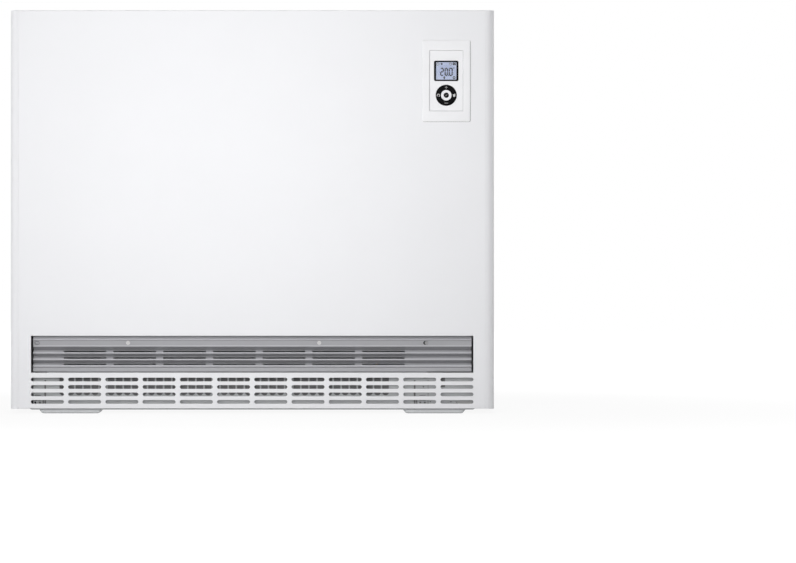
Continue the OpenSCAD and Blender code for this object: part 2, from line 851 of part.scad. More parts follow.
module motor_armature() {
    color("dimgray") difference() {
        bar_x(motor_x0, motor_x0 + motor_l, shaft_y, fan_z, armature_r);
        bar_x(motor_x0 - 1, motor_x0 + motor_l + 1, shaft_y, fan_z, fan_shaft_r + seat_gap);
    }
}

// ---------------------------------------------------------------- mixing damper

module damper_flap() {
    flap_z = duct_z + base_t + flap_gap;
    color("gainsboro") difference() {
        union() {
            box(flap_x0, flap_x1, damper_shaft_y - flap_l, damper_shaft_y, flap_z, flap_z + flap_t);
            bar_x(flap_x0, flap_x1, damper_shaft_y, damper_shaft_z, knuckle_r);
            box(flap_x0, flap_x1, damper_shaft_y - flap_l, damper_shaft_y - flap_l + flap_t, flap_z,
                flap_z + 4);
        }
        bar_x(flap_x0 - 1, flap_x1 + 1, damper_shaft_y, damper_shaft_z, damper_r + seat_gap);
    }
}

module damper_shaft() {
    color("silver") bar_x(flap_x0 - 8, coil_x + coil_w + 2, damper_shaft_y, damper_shaft_z, damper_r);
}

// The two bearing brackets on the duct's floor; the right one carries the coil's anchor pin
module damper_brackets() {
    floor_z = duct_z + base_t;
    ear_t = 2;
    ear_h = 14;
    foot_w = 3;
    pin_r = 1;
    coil_r = coil_core_r + (coil_turns + 1) * coil_step + coil_strip / 2;
    pin_y = damper_shaft_y + coil_r + pin_r + 0.3;
    color("silver") difference() {
        union() {
            for (x = [flap_x0 - ear_t - 3, flap_x1 + 3]) {
                box(x, x + ear_t, damper_shaft_y - 8, damper_shaft_y + ear_h, floor_z, floor_z + ear_h);
                box(x - foot_w, x + ear_t + foot_w, damper_shaft_y + 8, damper_shaft_y + ear_h, floor_z,
                    floor_z + 2);
            }
            bar_x(flap_x1 + 3 + ear_t / 2, coil_x + coil_w, pin_y, damper_shaft_z, pin_r);
        }
        for (x = [flap_x0 - ear_t - 3, flap_x1 + 3]) {
            bar_x(x - 1, x + ear_t + 1, damper_shaft_y, damper_shaft_z, damper_r + damper_gap);
        }
    }
}

// One half turn of the bimetal strip
module half_turn(r, upper) {
    intersection() {
        difference() {
            circle(r + coil_strip / 2);
            circle(r - coil_strip / 2);
        }
        translate([-2 * r, upper ? 0 : -2 * r]) square([4 * r, 2 * r]);
    }
}

// Flat spiral of half turns, each coil_step wider than the last
module bimetal_coil() {
    color("goldenrod") extrude_x(coil_x, coil_x + coil_w) translate([damper_shaft_y, damper_shaft_z]) {
        for (i = [0:coil_turns]) {
            translate([i % 2 == 0 ? 0 : coil_step, 0]) half_turn(coil_core_r + i * coil_step, i % 2 == 0);
        }
    }
}

// ---------------------------------------------------------------- storage core

// The line of the heating element at height z: two legs to x_end and a half-round bend, as a tube of radius r
module element_tube(z, r, x_end) {
    translate([bend_x, core_mid_y, z]) {
        rotate([0, 0, 90]) rotate_extrude(angle = 180) translate([element_bend_r, 0]) circle(r);
        for (s = [-1, 1]) {
            translate([0, s * element_bend_r, 0]) rotate([0, 90, 0]) cylinder(h = x_end - bend_x, r = r);
        }
    }
}

function element_z(i) = core_z0 + i * brick_h;

module heating_elements() {
    leg_end = gear_x + 8;
    color("dimgray") for (i = [1:core_layers - 1]) {
        element_tube(element_z(i), element_r, leg_end);
        extrude_x(gear_x, gear_x + 2) translate([core_mid_y, element_z(i)])
            rounded_rect(2 * element_bend_r + 24, 20, 4);
        for (s = [-1, 1]) {
            bar_x(leg_end - 1, leg_end + 10, core_mid_y + s * element_bend_r, element_z(i), 1.5);
        }
    }
}

module brick(column, layer) {
    x0 = core_x0 + column * brick_w;
    z0 = core_z0 + layer * brick_h;
    joint = 0.15;
    difference() {
        box(x0 + joint, x0 + brick_w - joint, core_y0, core_y1, z0 + joint, z0 + brick_h - joint);
        air_channels(z0 - 1, z0 + brick_h + 1);
        if (layer > 0) element_tube(element_z(layer), element_r + element_gap, gear_x);
        if (layer < core_layers - 1) element_tube(element_z(layer + 1), element_r + element_gap, gear_x);
        if (layer == core_layers - 1) {
            for (s = [-1, 1]) {
                mid_x = x0 + brick_w / 2 + s * brick_w / 4;
                box(mid_x - channel_l / 2, mid_x + channel_l / 2, front_channel_y, rear_channel_y,
                    z0 + brick_h - channel_w, z0 + brick_h + 1);
            }
        }
        if (column == core_columns - 1) sensor_bore(element_gap);
    }
}

module bricks_base() {
    color("saddlebrown") for (column = [0:core_columns - 1]) {
        brick(column, 0);
    }
}

module bricks_middle() {
    color("saddlebrown") for (layer = [1:core_layers - 2], column = [0:core_columns - 1]) {
        brick(column, layer);
    }
}

module bricks_top() {
    color("saddlebrown") for (column = [0:core_columns - 1]) {
        brick(column, core_layers - 1);
    }
}

// The bore for the sensor's rod, from inside the core to the switch panel
module sensor_bore(gap) {
    bar_x(core_x1 - sensor_l, gear_x + 1, core_mid_y, sensor_z, sensor_r + gap);
}

module core_sensor() {
    head_l = 10;
    head_r = 7;
    color("silver") {
        bar_x(core_x1 - sensor_l + 1, gear_x, core_mid_y, sensor_z, sensor_r);
        bar_x(gear_x, gear_x + head_l, core_mid_y, sensor_z, head_r);
    }
}

module insulation_bottom() {
    color("khaki") difference() {
        box(core_x0, core_x1, core_y0, core_y1, tray_z + base_t, core_z0);
        air_channels(tray_z, core_z0 + 1);
    }
}

module insulation_top() {
    color("khaki") box(core_x0, core_x1, core_y0, core_y1, core_z1, wool_top_z);
}

module insulation_left() {
    color("khaki") box(wool_x0, core_x0, chassis_y, wool_back_y, tray_z + base_t, wool_top_z);
}

module insulation_right() {
    color("khaki") difference() {
        box(core_x1, wool_x1, chassis_y, wool_back_y, tray_z + base_t, wool_top_z);
        for (i = [1:core_layers - 1]) {
            element_tube(element_z(i), element_r + element_gap, gear_x);
        }
        sensor_bore(element_gap);
    }
}

module insulation_front() {
    color("khaki") box(core_x0, core_x1, chassis_y, core_y0, tray_z + base_t, wool_top_z);
}

module insulation_rear() {
    color("khaki") box(core_x0, core_x1, core_y1, wool_back_y, tray_z + base_t, wool_top_z);
}

// The sheet that holds the front insulation, with stiffening beads
module inner_front_sheet() {
    color("gainsboro") {
        box(wool_x0, wool_x1, inner_y, inner_y + sheet_t, tray_z + base_t, wool_top_z);
        for (c = [0:core_columns - 1]) {
            extrude_y(inner_y - 1, inner_y + sheet_t)
                translate([core_x0 + (c + 0.5) * brick_w, (tray_z + wool_top_z) / 2])
                    rotate(90) stadium(wool_top_z - tray_z - 120, 10);
        }
    }
}

// ---------------------------------------------------------------- switchgear

module switch_panel() {
    step_x0 = gear_x + 8.4;
    step_x1 = gear_x + 15.6;
    step_z0 = base_z + 35.5;
    step_z1 = duct_z - 4;
    step_d = 2.5;
    slit_z = base_z + 8.5;
    color("silver") difference() {
        union() {
            box(switch_x, gear_x, chassis_y, chassis_back_y, base_z, wool_top_z);
            box(gear_x, side_x - pan_inset - pan_bend_r - 1, chassis_y, chassis_y + base_t, base_z, duct_z);
        }
        for (i = [1:core_layers - 1]) {
            element_tube(element_z(i), element_r + element_gap, gear_x + 5);
        }
        sensor_bore(element_gap);
        flange_cut(step_x0, step_x1, step_z0, step_z1);
        flange_hole(gear_x + 26, base_z + 11, 1);
        extrude_y(chassis_y - 1, chassis_y + base_t + 1) translate([gear_x + 33.5, slit_z])
            polygon([[0, 2.2], [3, 0], [17.5, 0], [17.5, 0.6], [3.4, 0.6], [0.8, 2.8]]);
        flange_cut(gear_x + 53.5, gear_x + 57.5, slit_z, slit_z + 0.6);
    }
    color("silver") extrude_x(step_x0, step_x1) translate([chassis_y, 0])
        polygon([[0, step_z0 - base_t], [0, step_z0], [step_d, step_z0], [step_d, step_z1], [0, step_z1],
            [0, step_z1 + base_t], [step_d + base_t, step_z1 + base_t],
            [step_d + base_t, step_z0 - base_t]]);
}

// Row of screw terminals on the switch panel
module mains_terminal_block() {
    ways = 6;
    way_l = 13;
    screw_recess_r = 3.2;
    block_h = 24;
    block_x1 = gear_x + 22;
    block_y1 = chassis_back_y - 22;
    block_y0 = block_y1 - ways * way_l;
    block_z = tray_z + 45;
    color("whitesmoke") difference() {
        union() {
            box(gear_x, gear_x + 4, block_y0 - 4, block_y1 + 4, block_z - 5, block_z + block_h + 5);
            box(gear_x, block_x1, block_y0, block_y1, block_z, block_z + block_h);
        }
        for (i = [0:ways - 1], z = [block_h / 4, block_h * 3 / 4]) {
            bar_x(gear_x + 6, block_x1 + 1, block_y0 + (i + 0.5) * way_l, block_z + z, screw_recess_r);
        }
    }
}

// Base plate, a low body with the terminals above and below, and the high part with the coil between them
module load_contactor() {
    gear_y0 = chassis_y + 20;
    gear_y1 = gear_y0 + 45;
    gear_z0 = tray_z + 30;
    gear_z1 = gear_z0 + 74;
    base_rim = 4;
    step = 12;
    color("darkslategray") {
        box(gear_x, gear_x + 6, gear_y0 - base_rim, gear_y1 + base_rim, gear_z0 - base_rim,
            gear_z1 + base_rim);
        box(gear_x, gear_x + 38, gear_y0, gear_y1, gear_z0, gear_z1);
        box(gear_x, gear_x + 55, gear_y0, gear_y1, gear_z0 + step, gear_z1 - step);
    }
}

// Circuit board of the charge control on four posts, with relays, a capacitor and a transformer
module control_board() {
    board_z = element_z(core_layers - 1) + 16;
    board_h = 130;
    board_w = 120;
    post_inset = 6;
    board_x = gear_x + 10;
    part_x = board_x + board_t;
    relays = 4;
    relay_pitch = 27;
    color("darkgreen") {
        box(board_x, part_x, core_mid_y - board_w / 2, core_mid_y + board_w / 2, board_z, board_z + board_h);
        for (s = [-1, 1], z = [post_inset, board_h - post_inset]) {
            bar_x(gear_x, board_x, core_mid_y + s * (board_w / 2 - post_inset), board_z + z, 3);
        }
        for (i = [0:relays - 1]) {
            y = core_mid_y + (i - relays / 2) * relay_pitch + 2;
            box(part_x, part_x + 15.4, y, y + 22, board_z + 96, board_z + 122);
        }
        bar_x(part_x, part_x + 24.4, core_mid_y - 34, board_z + 40, 12);
        box(part_x, part_x + 28.4, core_mid_y - 8, core_mid_y + 36, board_z + 20, board_z + 56);
    }
}

// Temperature limiter on the core tray's lip; its reset pin faces the right oval opening in the grille
module safety_cutout() {
    cutout_y = tray_front_y + base_t;
    flange_r = 8;
    flange_t = 5;
    can_r = 6.2;
    can_t = 9;
    tab_w = 8;
    color("black") difference() {
        union() {
            bar_y(cutout_y, cutout_y + flange_t, pin_x, oval_z, flange_r);
            bar_y(cutout_y + flange_t, cutout_y + flange_t + can_t, pin_x, oval_z, can_r);
            box(pin_x - tab_w / 2, pin_x + tab_w / 2, cutout_y, cutout_y + 1.2, oval_z, tray_z);
        }
        bar_y(cutout_y - 1, cutout_y + can_t, pin_x, oval_z, reset_r + 0.1);
    }
}

module reset_button() {
    color("gray") bar_y(band_y + grille_t + 0.6, tray_front_y + 6, pin_x, oval_z, reset_r);
}

// ---------------------------------------------------------------- casing

module intake_slots() {
    first_x = -(intake_columns - 1) / 2 * intake_pitch_x;
    for (column = [0:intake_columns - 1], row = [0:intake_rows - 1]) {
        translate([first_x + column * intake_pitch_x, intake_z0 + row * intake_pitch_z])
            stadium(intake_l, intake_h);
    }
}

// Front panel: folded at the top and both sides, plain at the foot, with a collar round the outlet
module front_panel() {
    hidden_fold = 20;
    tray_h = body_h - front_z0 + hidden_fold;
    collar_w = 2 * outlet_x;
    color("white") difference() {
        union() {
            translate([0, front_y, body_h - tray_h / 2])
                folded_tray(panel_w, tray_h, fold_d, seam_r, bend_r, sheet_t);
            extrude_y(front_y + sheet_t / 2, front_y + collar_d) translate([0, outlet_z0 + outlet_h / 2])
                square([collar_w + 2 * sheet_t, outlet_h + 2 * sheet_t], center = true);
        }
        box(-body_w, body_w, front_y - 1, front_y + fold_d + 1, front_z0 - hidden_fold - 1, front_z0);
        box(-outlet_x, outlet_x, front_y - 1, front_y + fold_d, outlet_z0, outlet_z1);
        extrude_y(front_y - 1, front_y + sheet_t + 1) intake_slots();
        extrude_y(front_y - 1, front_y + sheet_t + 1) translate([control_x, control_z])
            rounded_rect(spigot_w + 2 * spigot_gap, spigot_h + 2 * spigot_gap, 1.5);
    }
}

// Outline of the right side panel in (x, y), its front corner rounded, set in at the front and the side
module side_outline(inset) {
    x1 = side_x - inset;
    y0 = front_y + inset;
    y1 = back_y - sheet_t;
    r = corner_r - inset;
    translate([seam_x, y0]) square([x1 - r - seam_x, r]);
    translate([seam_x, y0 + r]) square([x1 - seam_x, y1 - y0 - r]);
    intersection() {
        translate([x1 - r, y0 + r]) circle(r);
        translate([x1 - r, y0]) square(r);
    }
}

// The shadow joint that parts the side panel's wall from its top cap
module shadow_joint() {
    joint_h = 0.8;
    extrude_z(body_h - 2 * joint_h, body_h - joint_h) difference() {
        side_outline(-1);
        side_outline(joint_d);
    }
}

// Right side panel: rounded front corner, return at the seam, rear flange, top cap, lip on the base pan
module side_panel() {
    difference() {
        extrude_z(base_z, body_h) side_outline(0);
        difference() {
            extrude_z(base_z - 1, body_h - 2 * sheet_t) side_hollow();
            box(seam_x - 1, seam_x + sheet_t, front_y, front_y + side_return_d, base_z - 1, body_h);
        }
        shadow_joint();
    }
    difference() {
        box(side_x - rear_flange_w, side_x - sheet_t, back_y - 2 * sheet_t, back_y - sheet_t, base_z,
            body_h - 12);
        screw_holes();
    }
    box(pan_x, seam_x, chassis_y, back_y - 2 * sheet_t, base_z, base_z + sheet_t);
    box(pan_x, pan_x + sheet_t, chassis_y, back_y - 2 * sheet_t, base_z, base_z + 12);
}

// The room inside a side panel in (x, y), open towards the middle and the back
module side_hollow() {
    r = corner_r - sheet_t;
    translate([seam_x - 1, front_y + sheet_t]) square([side_face_w - corner_r + 1, corner_r]);
    translate([seam_x - 1, front_y + corner_r]) square([side_face_w - sheet_t + 1, back_y - front_y]);
    translate([side_x - corner_r, front_y + corner_r]) circle(r);
}

module side_panel_right() {
    color("white") side_panel();
}

module side_panel_left() {
    color("white") mirror([1, 0, 0]) side_panel();
}

module top_cover() {
    cover_d = back_y - sheet_t - cover_front_y;
    color("white") translate([0, cover_front_y + cover_d / 2, body_h]) rotate([-90, 0, 0])
        folded_tray(panel_w, cover_d, cover_edge_h, seam_r, bend_r, sheet_t);
}

function screw_z(i) = screw_end_z + i * (body_h - 2 * screw_end_z) / (screw_rows - 1);

module screw_holes() {
    for (i = [0:screw_rows - 1], s = [-1, 1]) {
        bar_y(back_y - 3, back_y + 1, s * screw_x, screw_z(i), screw_r + 0.2);
    }
}

// A cross recess cut 1 mm into a screw head that ends at head_y
module cross_recess(x, head_y, z) {
    half_l = 2.4;
    half_w = 0.4;
    box(x - half_l, x + half_l, head_y - 1, head_y + 1, z - half_w, z + half_w);
    box(x - half_w, x + half_w, head_y - 1, head_y + 1, z - half_l, z + half_l);
}

module casing_screws() {
    shank_l = 6;
    head_r = 3.6;
    head_y = back_y + 2.2;
    color("silver") for (i = [0:screw_rows - 1], s = [-1, 1]) {
        bar_y(back_y - shank_l, back_y, s * screw_x, screw_z(i), screw_r);
        difference() {
            bar_y(back_y, head_y, s * screw_x, screw_z(i), head_r);
            cross_recess(s * screw_x, head_y, screw_z(i));
        }
    }
}

module rear_panel() {
    edge = 4;
    vent_rows = 3;
    vent_pitch_x = 50;
    vent_pitch_z = 10;
    vent_z = body_h - 26;
    vents = floor((2 * side_x - 160) / vent_pitch_x);
    color("gainsboro") difference() {
        box(-side_x + edge, side_x - edge, back_y - sheet_t, back_y, base_z + 2, body_h - 2);
        screw_holes();
        bar_y(back_y - 2, back_y + 1, side_x - inlet_inset, inlet_z, inlet_r + grommet_wall + seat_gap);
        extrude_y(back_y - 2, back_y + 1) for (i = [0:vents - 1], row = [0:vent_rows - 1]) {
            translate([(i - (vents - 1) / 2) * vent_pitch_x, vent_z - row * vent_pitch_z]) stadium(34, 4);
        }
    }
}

// Two hat-section brackets that keep the wall gap
module wall_brackets() {
    crown_w = 50;
    brim_w = 15;
    bracket_h = 60;
    bolt_z = body_h - wall_bolt_down;
    color("silver") for (s = [-1, 1]) {
        difference() {
            extrude_z(bolt_z - bracket_h / 2, bolt_z + bracket_h / 2)
                translate([s * wall_bolt_pitch / 2, back_y]) difference() {
                    union() {
                        translate([-crown_w / 2 - brim_w, 0]) square([crown_w + 2 * brim_w, base_t]);
                        translate([-crown_w / 2, 0]) square([crown_w, wall_gap]);
                    }
                    translate([-crown_w / 2 + base_t, -1])
                        square([crown_w - 2 * base_t, wall_gap + 1 - base_t]);
                }
            bar_y(back_y - 1, back_y + wall_gap + 1, s * wall_bolt_pitch / 2, bolt_z, wall_bolt_r);
        }
    }
}

module cable_grommet() {
    grommet_x = side_x - inlet_inset;
    lip_r = inlet_r + 5;
    lip_t = 3;
    color("black") difference() {
        union() {
            bar_y(back_y - sheet_t, back_y, grommet_x, inlet_z, inlet_r + grommet_wall);
            bar_y(back_y, back_y + lip_t, grommet_x, inlet_z, lip_r);
            bar_y(back_y - sheet_t - lip_t, back_y - sheet_t, grommet_x, inlet_z, lip_r);
        }
        bar_y(back_y - 3 * lip_t, back_y + 3 * lip_t, grommet_x, inlet_z, inlet_r);
    }
}

// ---------------------------------------------------------------- outlet grille

function ridge_z(i) = first_ridge_z - i * ridge_pitch;
function valley_z(i) = ridge_z(i) + ridge_lip / 2 + valley_rise;
function slot_z(i) = ridge_z(i) + ridge_lip / 2 + 0.2;

// The grille's section from top to bottom as points (depth behind the ridges, height): the hem behind the
// opening's upper edge, the plain band, the grooves, the hollow lower band and the toe below the opening
function grille_line() = concat(
    [[hem_d, outlet_z1 + 5], [hem_d, outlet_z1 + 0.5], [0, band_z1 - 1], [band_d, band_z1 - 2.2],
        [band_d, band_z0 + 2], [0, band_z0]],
    [for (i = [0:groove_count - 1], p = [[groove_d, valley_z(i)], [0, ridge_z(i) + ridge_lip / 2],
        [0, ridge_z(i) - ridge_lip / 2]]) p],
    [[toe_d / 2, ridge_z(groove_count - 1) - 3.5], [toe_d / 4, outlet_z0 + 2.5], [toe_d, outlet_z0 - 1],
        [toe_d, outlet_z0 - 6]]);

// One corrugated sheet: ridges in front, slotted flanks between them
module outlet_grille() {
    line = grille_line();
    last = len(line) - 1;
    section = concat([for (p = line) [ridge_y + p[0], p[1]]],
        [for (i = [last:-1:0]) [ridge_y + line[i][0] + grille_t, line[i][1]]]);
    first_slot_x = -outlet_x + slot_margin_left + air_slot_l / 2;
    slot_h = air_slot_w * valley_rise / norm([groove_d, valley_rise]);
    color("darkgray") difference() {
        extrude_x(-grille_x, grille_x) polygon(section);
        for (i = [0:groove_count - 1], column = [0:air_slot_count - 1]) {
            extrude_y(ridge_y + 0.3, ridge_y + groove_d + 3 * grille_t)
                translate([first_slot_x + column * air_slot_pitch, slot_z(i) + slot_h / 2])
                    stadium(air_slot_l, slot_h);
        }
        for (x = [lock_left_x, lock_right_x]) {
            bar_y(band_y - 1, band_y + grille_t + 1, x, oval_z, lock_shank_r + lock_gap);
        }
        extrude_y(band_y - 1, band_y + grille_t + 1) translate([reset_x, oval_z]) stadium(oval_l, oval_h);
        knock_out(oval_left_x);
        toe_notch(-grille_x - 1, -grille_x + 22);
        toe_notch(reset_x + 3, grille_x + 1);
    }
}

// The cut round an oval slug that is half pushed through the sheet, for a pin on the other side
module knock_out(x) {
    ring_w = 0.9;
    extrude_y(band_y - 1, band_y + grille_t - 0.3) translate([x, oval_z]) difference() {
        stadium(oval_l, oval_h);
        stadium(oval_l - 2 * ring_w, oval_h - 2 * ring_w);
    }
    extrude_y(band_y - 1, band_y + 0.2) translate([x, oval_z]) stadium(oval_l, oval_h);
}

// The toe is cut away at both ends of the grille, which leaves a slit over the opening's lower edge
module toe_notch(x0, x1) {
    slit_h = 1.3;
    box(x0, x1, ridge_y - 1, ridge_y + toe_d + 2 * grille_t, outlet_z0 - 7, outlet_z0 + slit_h);
}

// Quarter-turn fastener: slotted head, shank and a cross bar behind the core tray's lip
module grille_lock(x) {
    bar_y0 = tray_front_y + base_t + 0.3;
    bar_t = 1.6;
    head_t = 0.9;
    slot_half_l = 2.4;
    slot_half_w = 0.45;
    difference() {
        bar_y(band_y - head_t, band_y, x, oval_z, lock_head_r);
        box(x - slot_half_l, x + slot_half_l, band_y - head_t - 1, band_y - head_t + 0.5,
            oval_z - slot_half_w, oval_z + slot_half_w);
    }
    bar_y(band_y, bar_y0 + bar_t / 2, x, oval_z, lock_shank_r);
    extrude_y(bar_y0, bar_y0 + bar_t) translate([x, oval_z]) rotate(90) stadium(lock_bar_l, lock_bar_w);
}

module lock_left() {
    color("lightgray") grille_lock(lock_left_x);
}

module lock_right() {
    color("lightgray") grille_lock(lock_right_x);
}

// ---------------------------------------------------------------- control unit

// Section of a plate of thickness t from -half to half, chamfered by c
module chamfered_edge(half, t, c) {
    polygon([[-half, 0], [half, 0], [half, t - c], [half - c, t], [-half + c, t], [-half, t - c]]);
}

// A plate w by h with corner radius r in (x, z), from y0 to y1, its front edge chamfered by c
module chamfered_plate(w, h, r, y0, y1, c) {
    t = y1 - y0;
    translate([0, y1, 0]) rotate([90, 0, 0]) {
        for (sx = [-1, 1], sy = [-1, 1]) {
            translate([sx * (w / 2 - r), sy * (h / 2 - r), 0]) {
                cylinder(h = t - c, r = r);
                translate([0, 0, t - c]) cylinder(h = c, r1 = r, r2 = r - c);
            }
        }
        translate([0, h / 2 - r, 0]) rotate([90, 0, 0]) linear_extrude(h - 2 * r) chamfered_edge(w / 2, t, c);
        translate([-w / 2 + r, 0, 0]) rotate([90, 0, 90]) linear_extrude(w - 2 * r)
            chamfered_edge(h / 2, t, c);
    }
}

module control_frame() {
    spigot_y1 = front_y + 6;
    color("white") translate([control_x, 0, control_z]) difference() {
        union() {
            chamfered_plate(control_w, control_h, 3, front_y - control_proud, front_y, control_proud / 2);
            extrude_y(front_y - 0.01, spigot_y1) rounded_rect(spigot_w, spigot_h, 1.5);
        }
        extrude_y(front_y - 2 * control_proud, spigot_y1 + 1)
            rounded_rect(module_w + 2 * module_gap, module_h + 2 * module_gap, 1);
    }
}

// The module's shell: a face with openings for window and keys, and walls round the key board
module control_housing() {
    color("white") difference() {
        extrude_y(module_y, module_y + housing_d) translate([control_x, control_z])
            rounded_rect(module_w, module_h, 0.8);
        extrude_y(module_y + housing_t, module_y + housing_d + 1) translate([control_x, control_z])
            rounded_rect(module_w - 2 * housing_wall, module_h - 2 * housing_wall, 0.5);
        extrude_y(module_y - 1, module_y + housing_t + 1) translate([control_x, window_z])
            rounded_rect(window_w, window_h, window_r);
        bar_y(module_y - 1, module_y + housing_t + 1, control_x, keys_z, ring_r + key_gap);
    }
}

module display_window() {
    color("black", 0.5) extrude_y(window_y, window_y + window_t) translate([control_x, window_z])
        rounded_rect(window_w - 2 * window_gap, window_h - 2 * window_gap, window_r - window_gap);
}

module display_panel() {
    panel_y = window_y + window_t;
    panel_gap_xz = 0.7;
    color("lightsteelblue") {
        extrude_y(panel_y, panel_y + 1.6) translate([control_x, window_z])
            rounded_rect(window_w - 2 * panel_gap_xz, window_h - 2 * panel_gap_xz, window_r - 0.5);
        extrude_y(panel_y + 1.6, board_y) translate([control_x, window_z])
            square([window_w - 2 * window_border, window_h - 2 * window_border], center = true);
    }
}

// Board behind the keys: a switch under each of the four ends of the ring, one under the centre, and two
// posts that the carrier rocks on
module key_board() {
    switch_half = 2.6;
    switch_step = 13;
    post_x = carrier_r - 1.5;
    board_gap = 0.3;
    board_w = module_w - 2 * (housing_wall + board_gap);
    board_h = module_h - 2 * (housing_wall + board_gap);
    color("darkgreen") {
        extrude_y(board_y, board_y + board_t) translate([control_x, control_z])
            square([board_w, board_h], center = true);
        for (p = [[0, 0], [1, 0], [-1, 0], [0, 1], [0, -1]]) {
            x = control_x + p[0] * switch_step;
            z = keys_z + p[1] * switch_step;
            box(x - switch_half, x + switch_half, switch_y, board_y, z - switch_half, z + switch_half);
        }
        for (s = [-1, 1]) {
            bar_y(carrier_y + carrier_t + rib_gap, board_y, control_x + s * post_x, keys_z, 1);
        }
    }
}

// Flexing ring that carries the ring key: it rocks up and down, and the key rocks sideways on it
module key_carrier() {
    color("darkgray") difference() {
        bar_y(carrier_y, carrier_y + carrier_t, control_x, keys_z, carrier_r);
        bar_y(carrier_y - 1, carrier_y + carrier_t + 1, control_x, keys_z, ring_hole_r + 1);
    }
}

// A turned shape about the keys' middle, from a profile of (radius, depth behind the keys' face)
module turned_key(profile) {
    translate([control_x, module_y - key_proud, keys_z]) rotate([-90, 0, 0]) rotate_extrude()
        polygon(profile);
}

// The ring key has two ribs behind its upper and lower ends, on which it rocks sideways
module key_ring() {
    rib_x = 0.6;
    rib_z = [ring_hole_r + 2.5, ring_r - 1.5];
    key_back_y = module_y - key_proud + key_t;
    color("black") {
        turned_key([[ring_hole_r, 0.35], [ring_hole_r + 0.35, 0], [ring_r - 0.4, 0.1],
            [ring_r, 0.5], [ring_r, key_t], [ring_hole_r, key_t]]);
        for (s = [-1, 1]) {
            box(control_x - rib_x, control_x + rib_x, key_back_y, carrier_y - rib_gap,
                keys_z + min(s * rib_z[0], s * rib_z[1]), keys_z + max(s * rib_z[0], s * rib_z[1]));
        }
    }
}

module key_ok() {
    r = ring_hole_r - key_gap;
    stem_r = 2;
    stem_gap = 0.6;
    stem_end = switch_y - stem_gap - module_y + key_proud;
    color("white") turned_key([[0, 0.15], [r / 2, 0.15], [r - 0.35, 0], [r, 0.35], [r, key_t],
        [stem_r, key_t], [stem_r, stem_end], [0, stem_end]]);
}

base_pan();
foot_left();
foot_right();
chassis_left();
chassis_right();
core_tray();
riser_wall();
duct_floor();
intake_plate();
lint_filter();
fan_scrolls();
fan_plates();
fan_bearings();
fan_shaft();
fan_drum_left();
fan_drum_right();
motor_stator();
motor_coil();
motor_armature();
damper_flap();
damper_shaft();
damper_brackets();
bimetal_coil();
bricks_base();
bricks_middle();
bricks_top();
heating_elements();
insulation_bottom();
insulation_top();
insulation_left();
insulation_right();
insulation_front();
insulation_rear();
inner_front_sheet();
switch_panel();
mains_terminal_block();
load_contactor();
control_board();
safety_cutout();
reset_button();
core_sensor();
front_panel();
side_panel_left();
side_panel_right();
top_cover();
rear_panel();
wall_brackets();
cable_grommet();
casing_screws();
outlet_grille();
lock_left();
lock_right();
control_frame();
control_housing();
display_window();
display_panel();
key_board();
key_carrier();
key_ring();
key_ok();
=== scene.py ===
"""Looks of a storage heater: rounded edges, display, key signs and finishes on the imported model."""

import json
import math

import bmesh
import bpy
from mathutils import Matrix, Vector
from mathutils.geometry import tessellate_polygon

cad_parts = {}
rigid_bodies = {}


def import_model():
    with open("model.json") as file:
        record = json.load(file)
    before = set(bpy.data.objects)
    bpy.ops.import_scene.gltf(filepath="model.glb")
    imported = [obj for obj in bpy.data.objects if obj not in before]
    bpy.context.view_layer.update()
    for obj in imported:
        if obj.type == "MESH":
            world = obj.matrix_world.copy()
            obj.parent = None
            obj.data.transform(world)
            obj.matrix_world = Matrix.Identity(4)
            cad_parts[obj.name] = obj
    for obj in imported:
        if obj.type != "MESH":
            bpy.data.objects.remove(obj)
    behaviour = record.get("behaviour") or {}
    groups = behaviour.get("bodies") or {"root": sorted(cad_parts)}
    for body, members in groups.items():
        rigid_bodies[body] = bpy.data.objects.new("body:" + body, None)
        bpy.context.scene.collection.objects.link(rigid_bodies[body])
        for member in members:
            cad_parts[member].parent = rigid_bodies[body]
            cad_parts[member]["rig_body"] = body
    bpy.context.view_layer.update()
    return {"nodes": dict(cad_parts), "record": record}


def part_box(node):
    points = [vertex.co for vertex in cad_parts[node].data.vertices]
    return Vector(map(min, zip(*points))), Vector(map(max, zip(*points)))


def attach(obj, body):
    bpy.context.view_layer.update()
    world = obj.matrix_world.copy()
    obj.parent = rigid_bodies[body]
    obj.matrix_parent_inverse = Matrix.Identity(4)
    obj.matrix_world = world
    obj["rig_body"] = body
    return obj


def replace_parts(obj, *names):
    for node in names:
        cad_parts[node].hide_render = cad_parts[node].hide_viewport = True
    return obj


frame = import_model()

MM = 0.001

# The photograph's size in pixels
PHOTO_W = 796
PHOTO_H = 563
# One pixel's real size at the front panel
PIXEL = 1.6115 * MM
# Where the photograph has the heater's middle and the floor, in pixels
HEATER_X_PX = 252.15
FLOOR_Y_PX = 413.5
# From the camera to the front panel
VIEW_DISTANCE = 5.0
SENSOR_WIDTH = 36

# The record's material slot of each CAD node
SLOT_OF = {row["node"]: row["material_slot"] for row in frame["record"]["subparts"]}


def middle(node):
    """The centre of a CAD node's box."""
    lo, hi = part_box(node)
    return (lo + hi) / 2


def front(node):
    """The y of a CAD node's foremost point."""
    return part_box(node)[0].y


# ---------------------------------------------------------------- finishes


# Length of a wave texture's bands at scale 1
WAVE_LENGTH = math.tau / 20
# Places of a mix node's colour sockets, which share their names with its sockets for plain values
MIX_LOW = 6
MIX_HIGH = 7
MIX_RESULT = 2


def tone(color, factor):
    """The same colour, lighter or darker."""
    return tuple(channel * factor for channel in color)


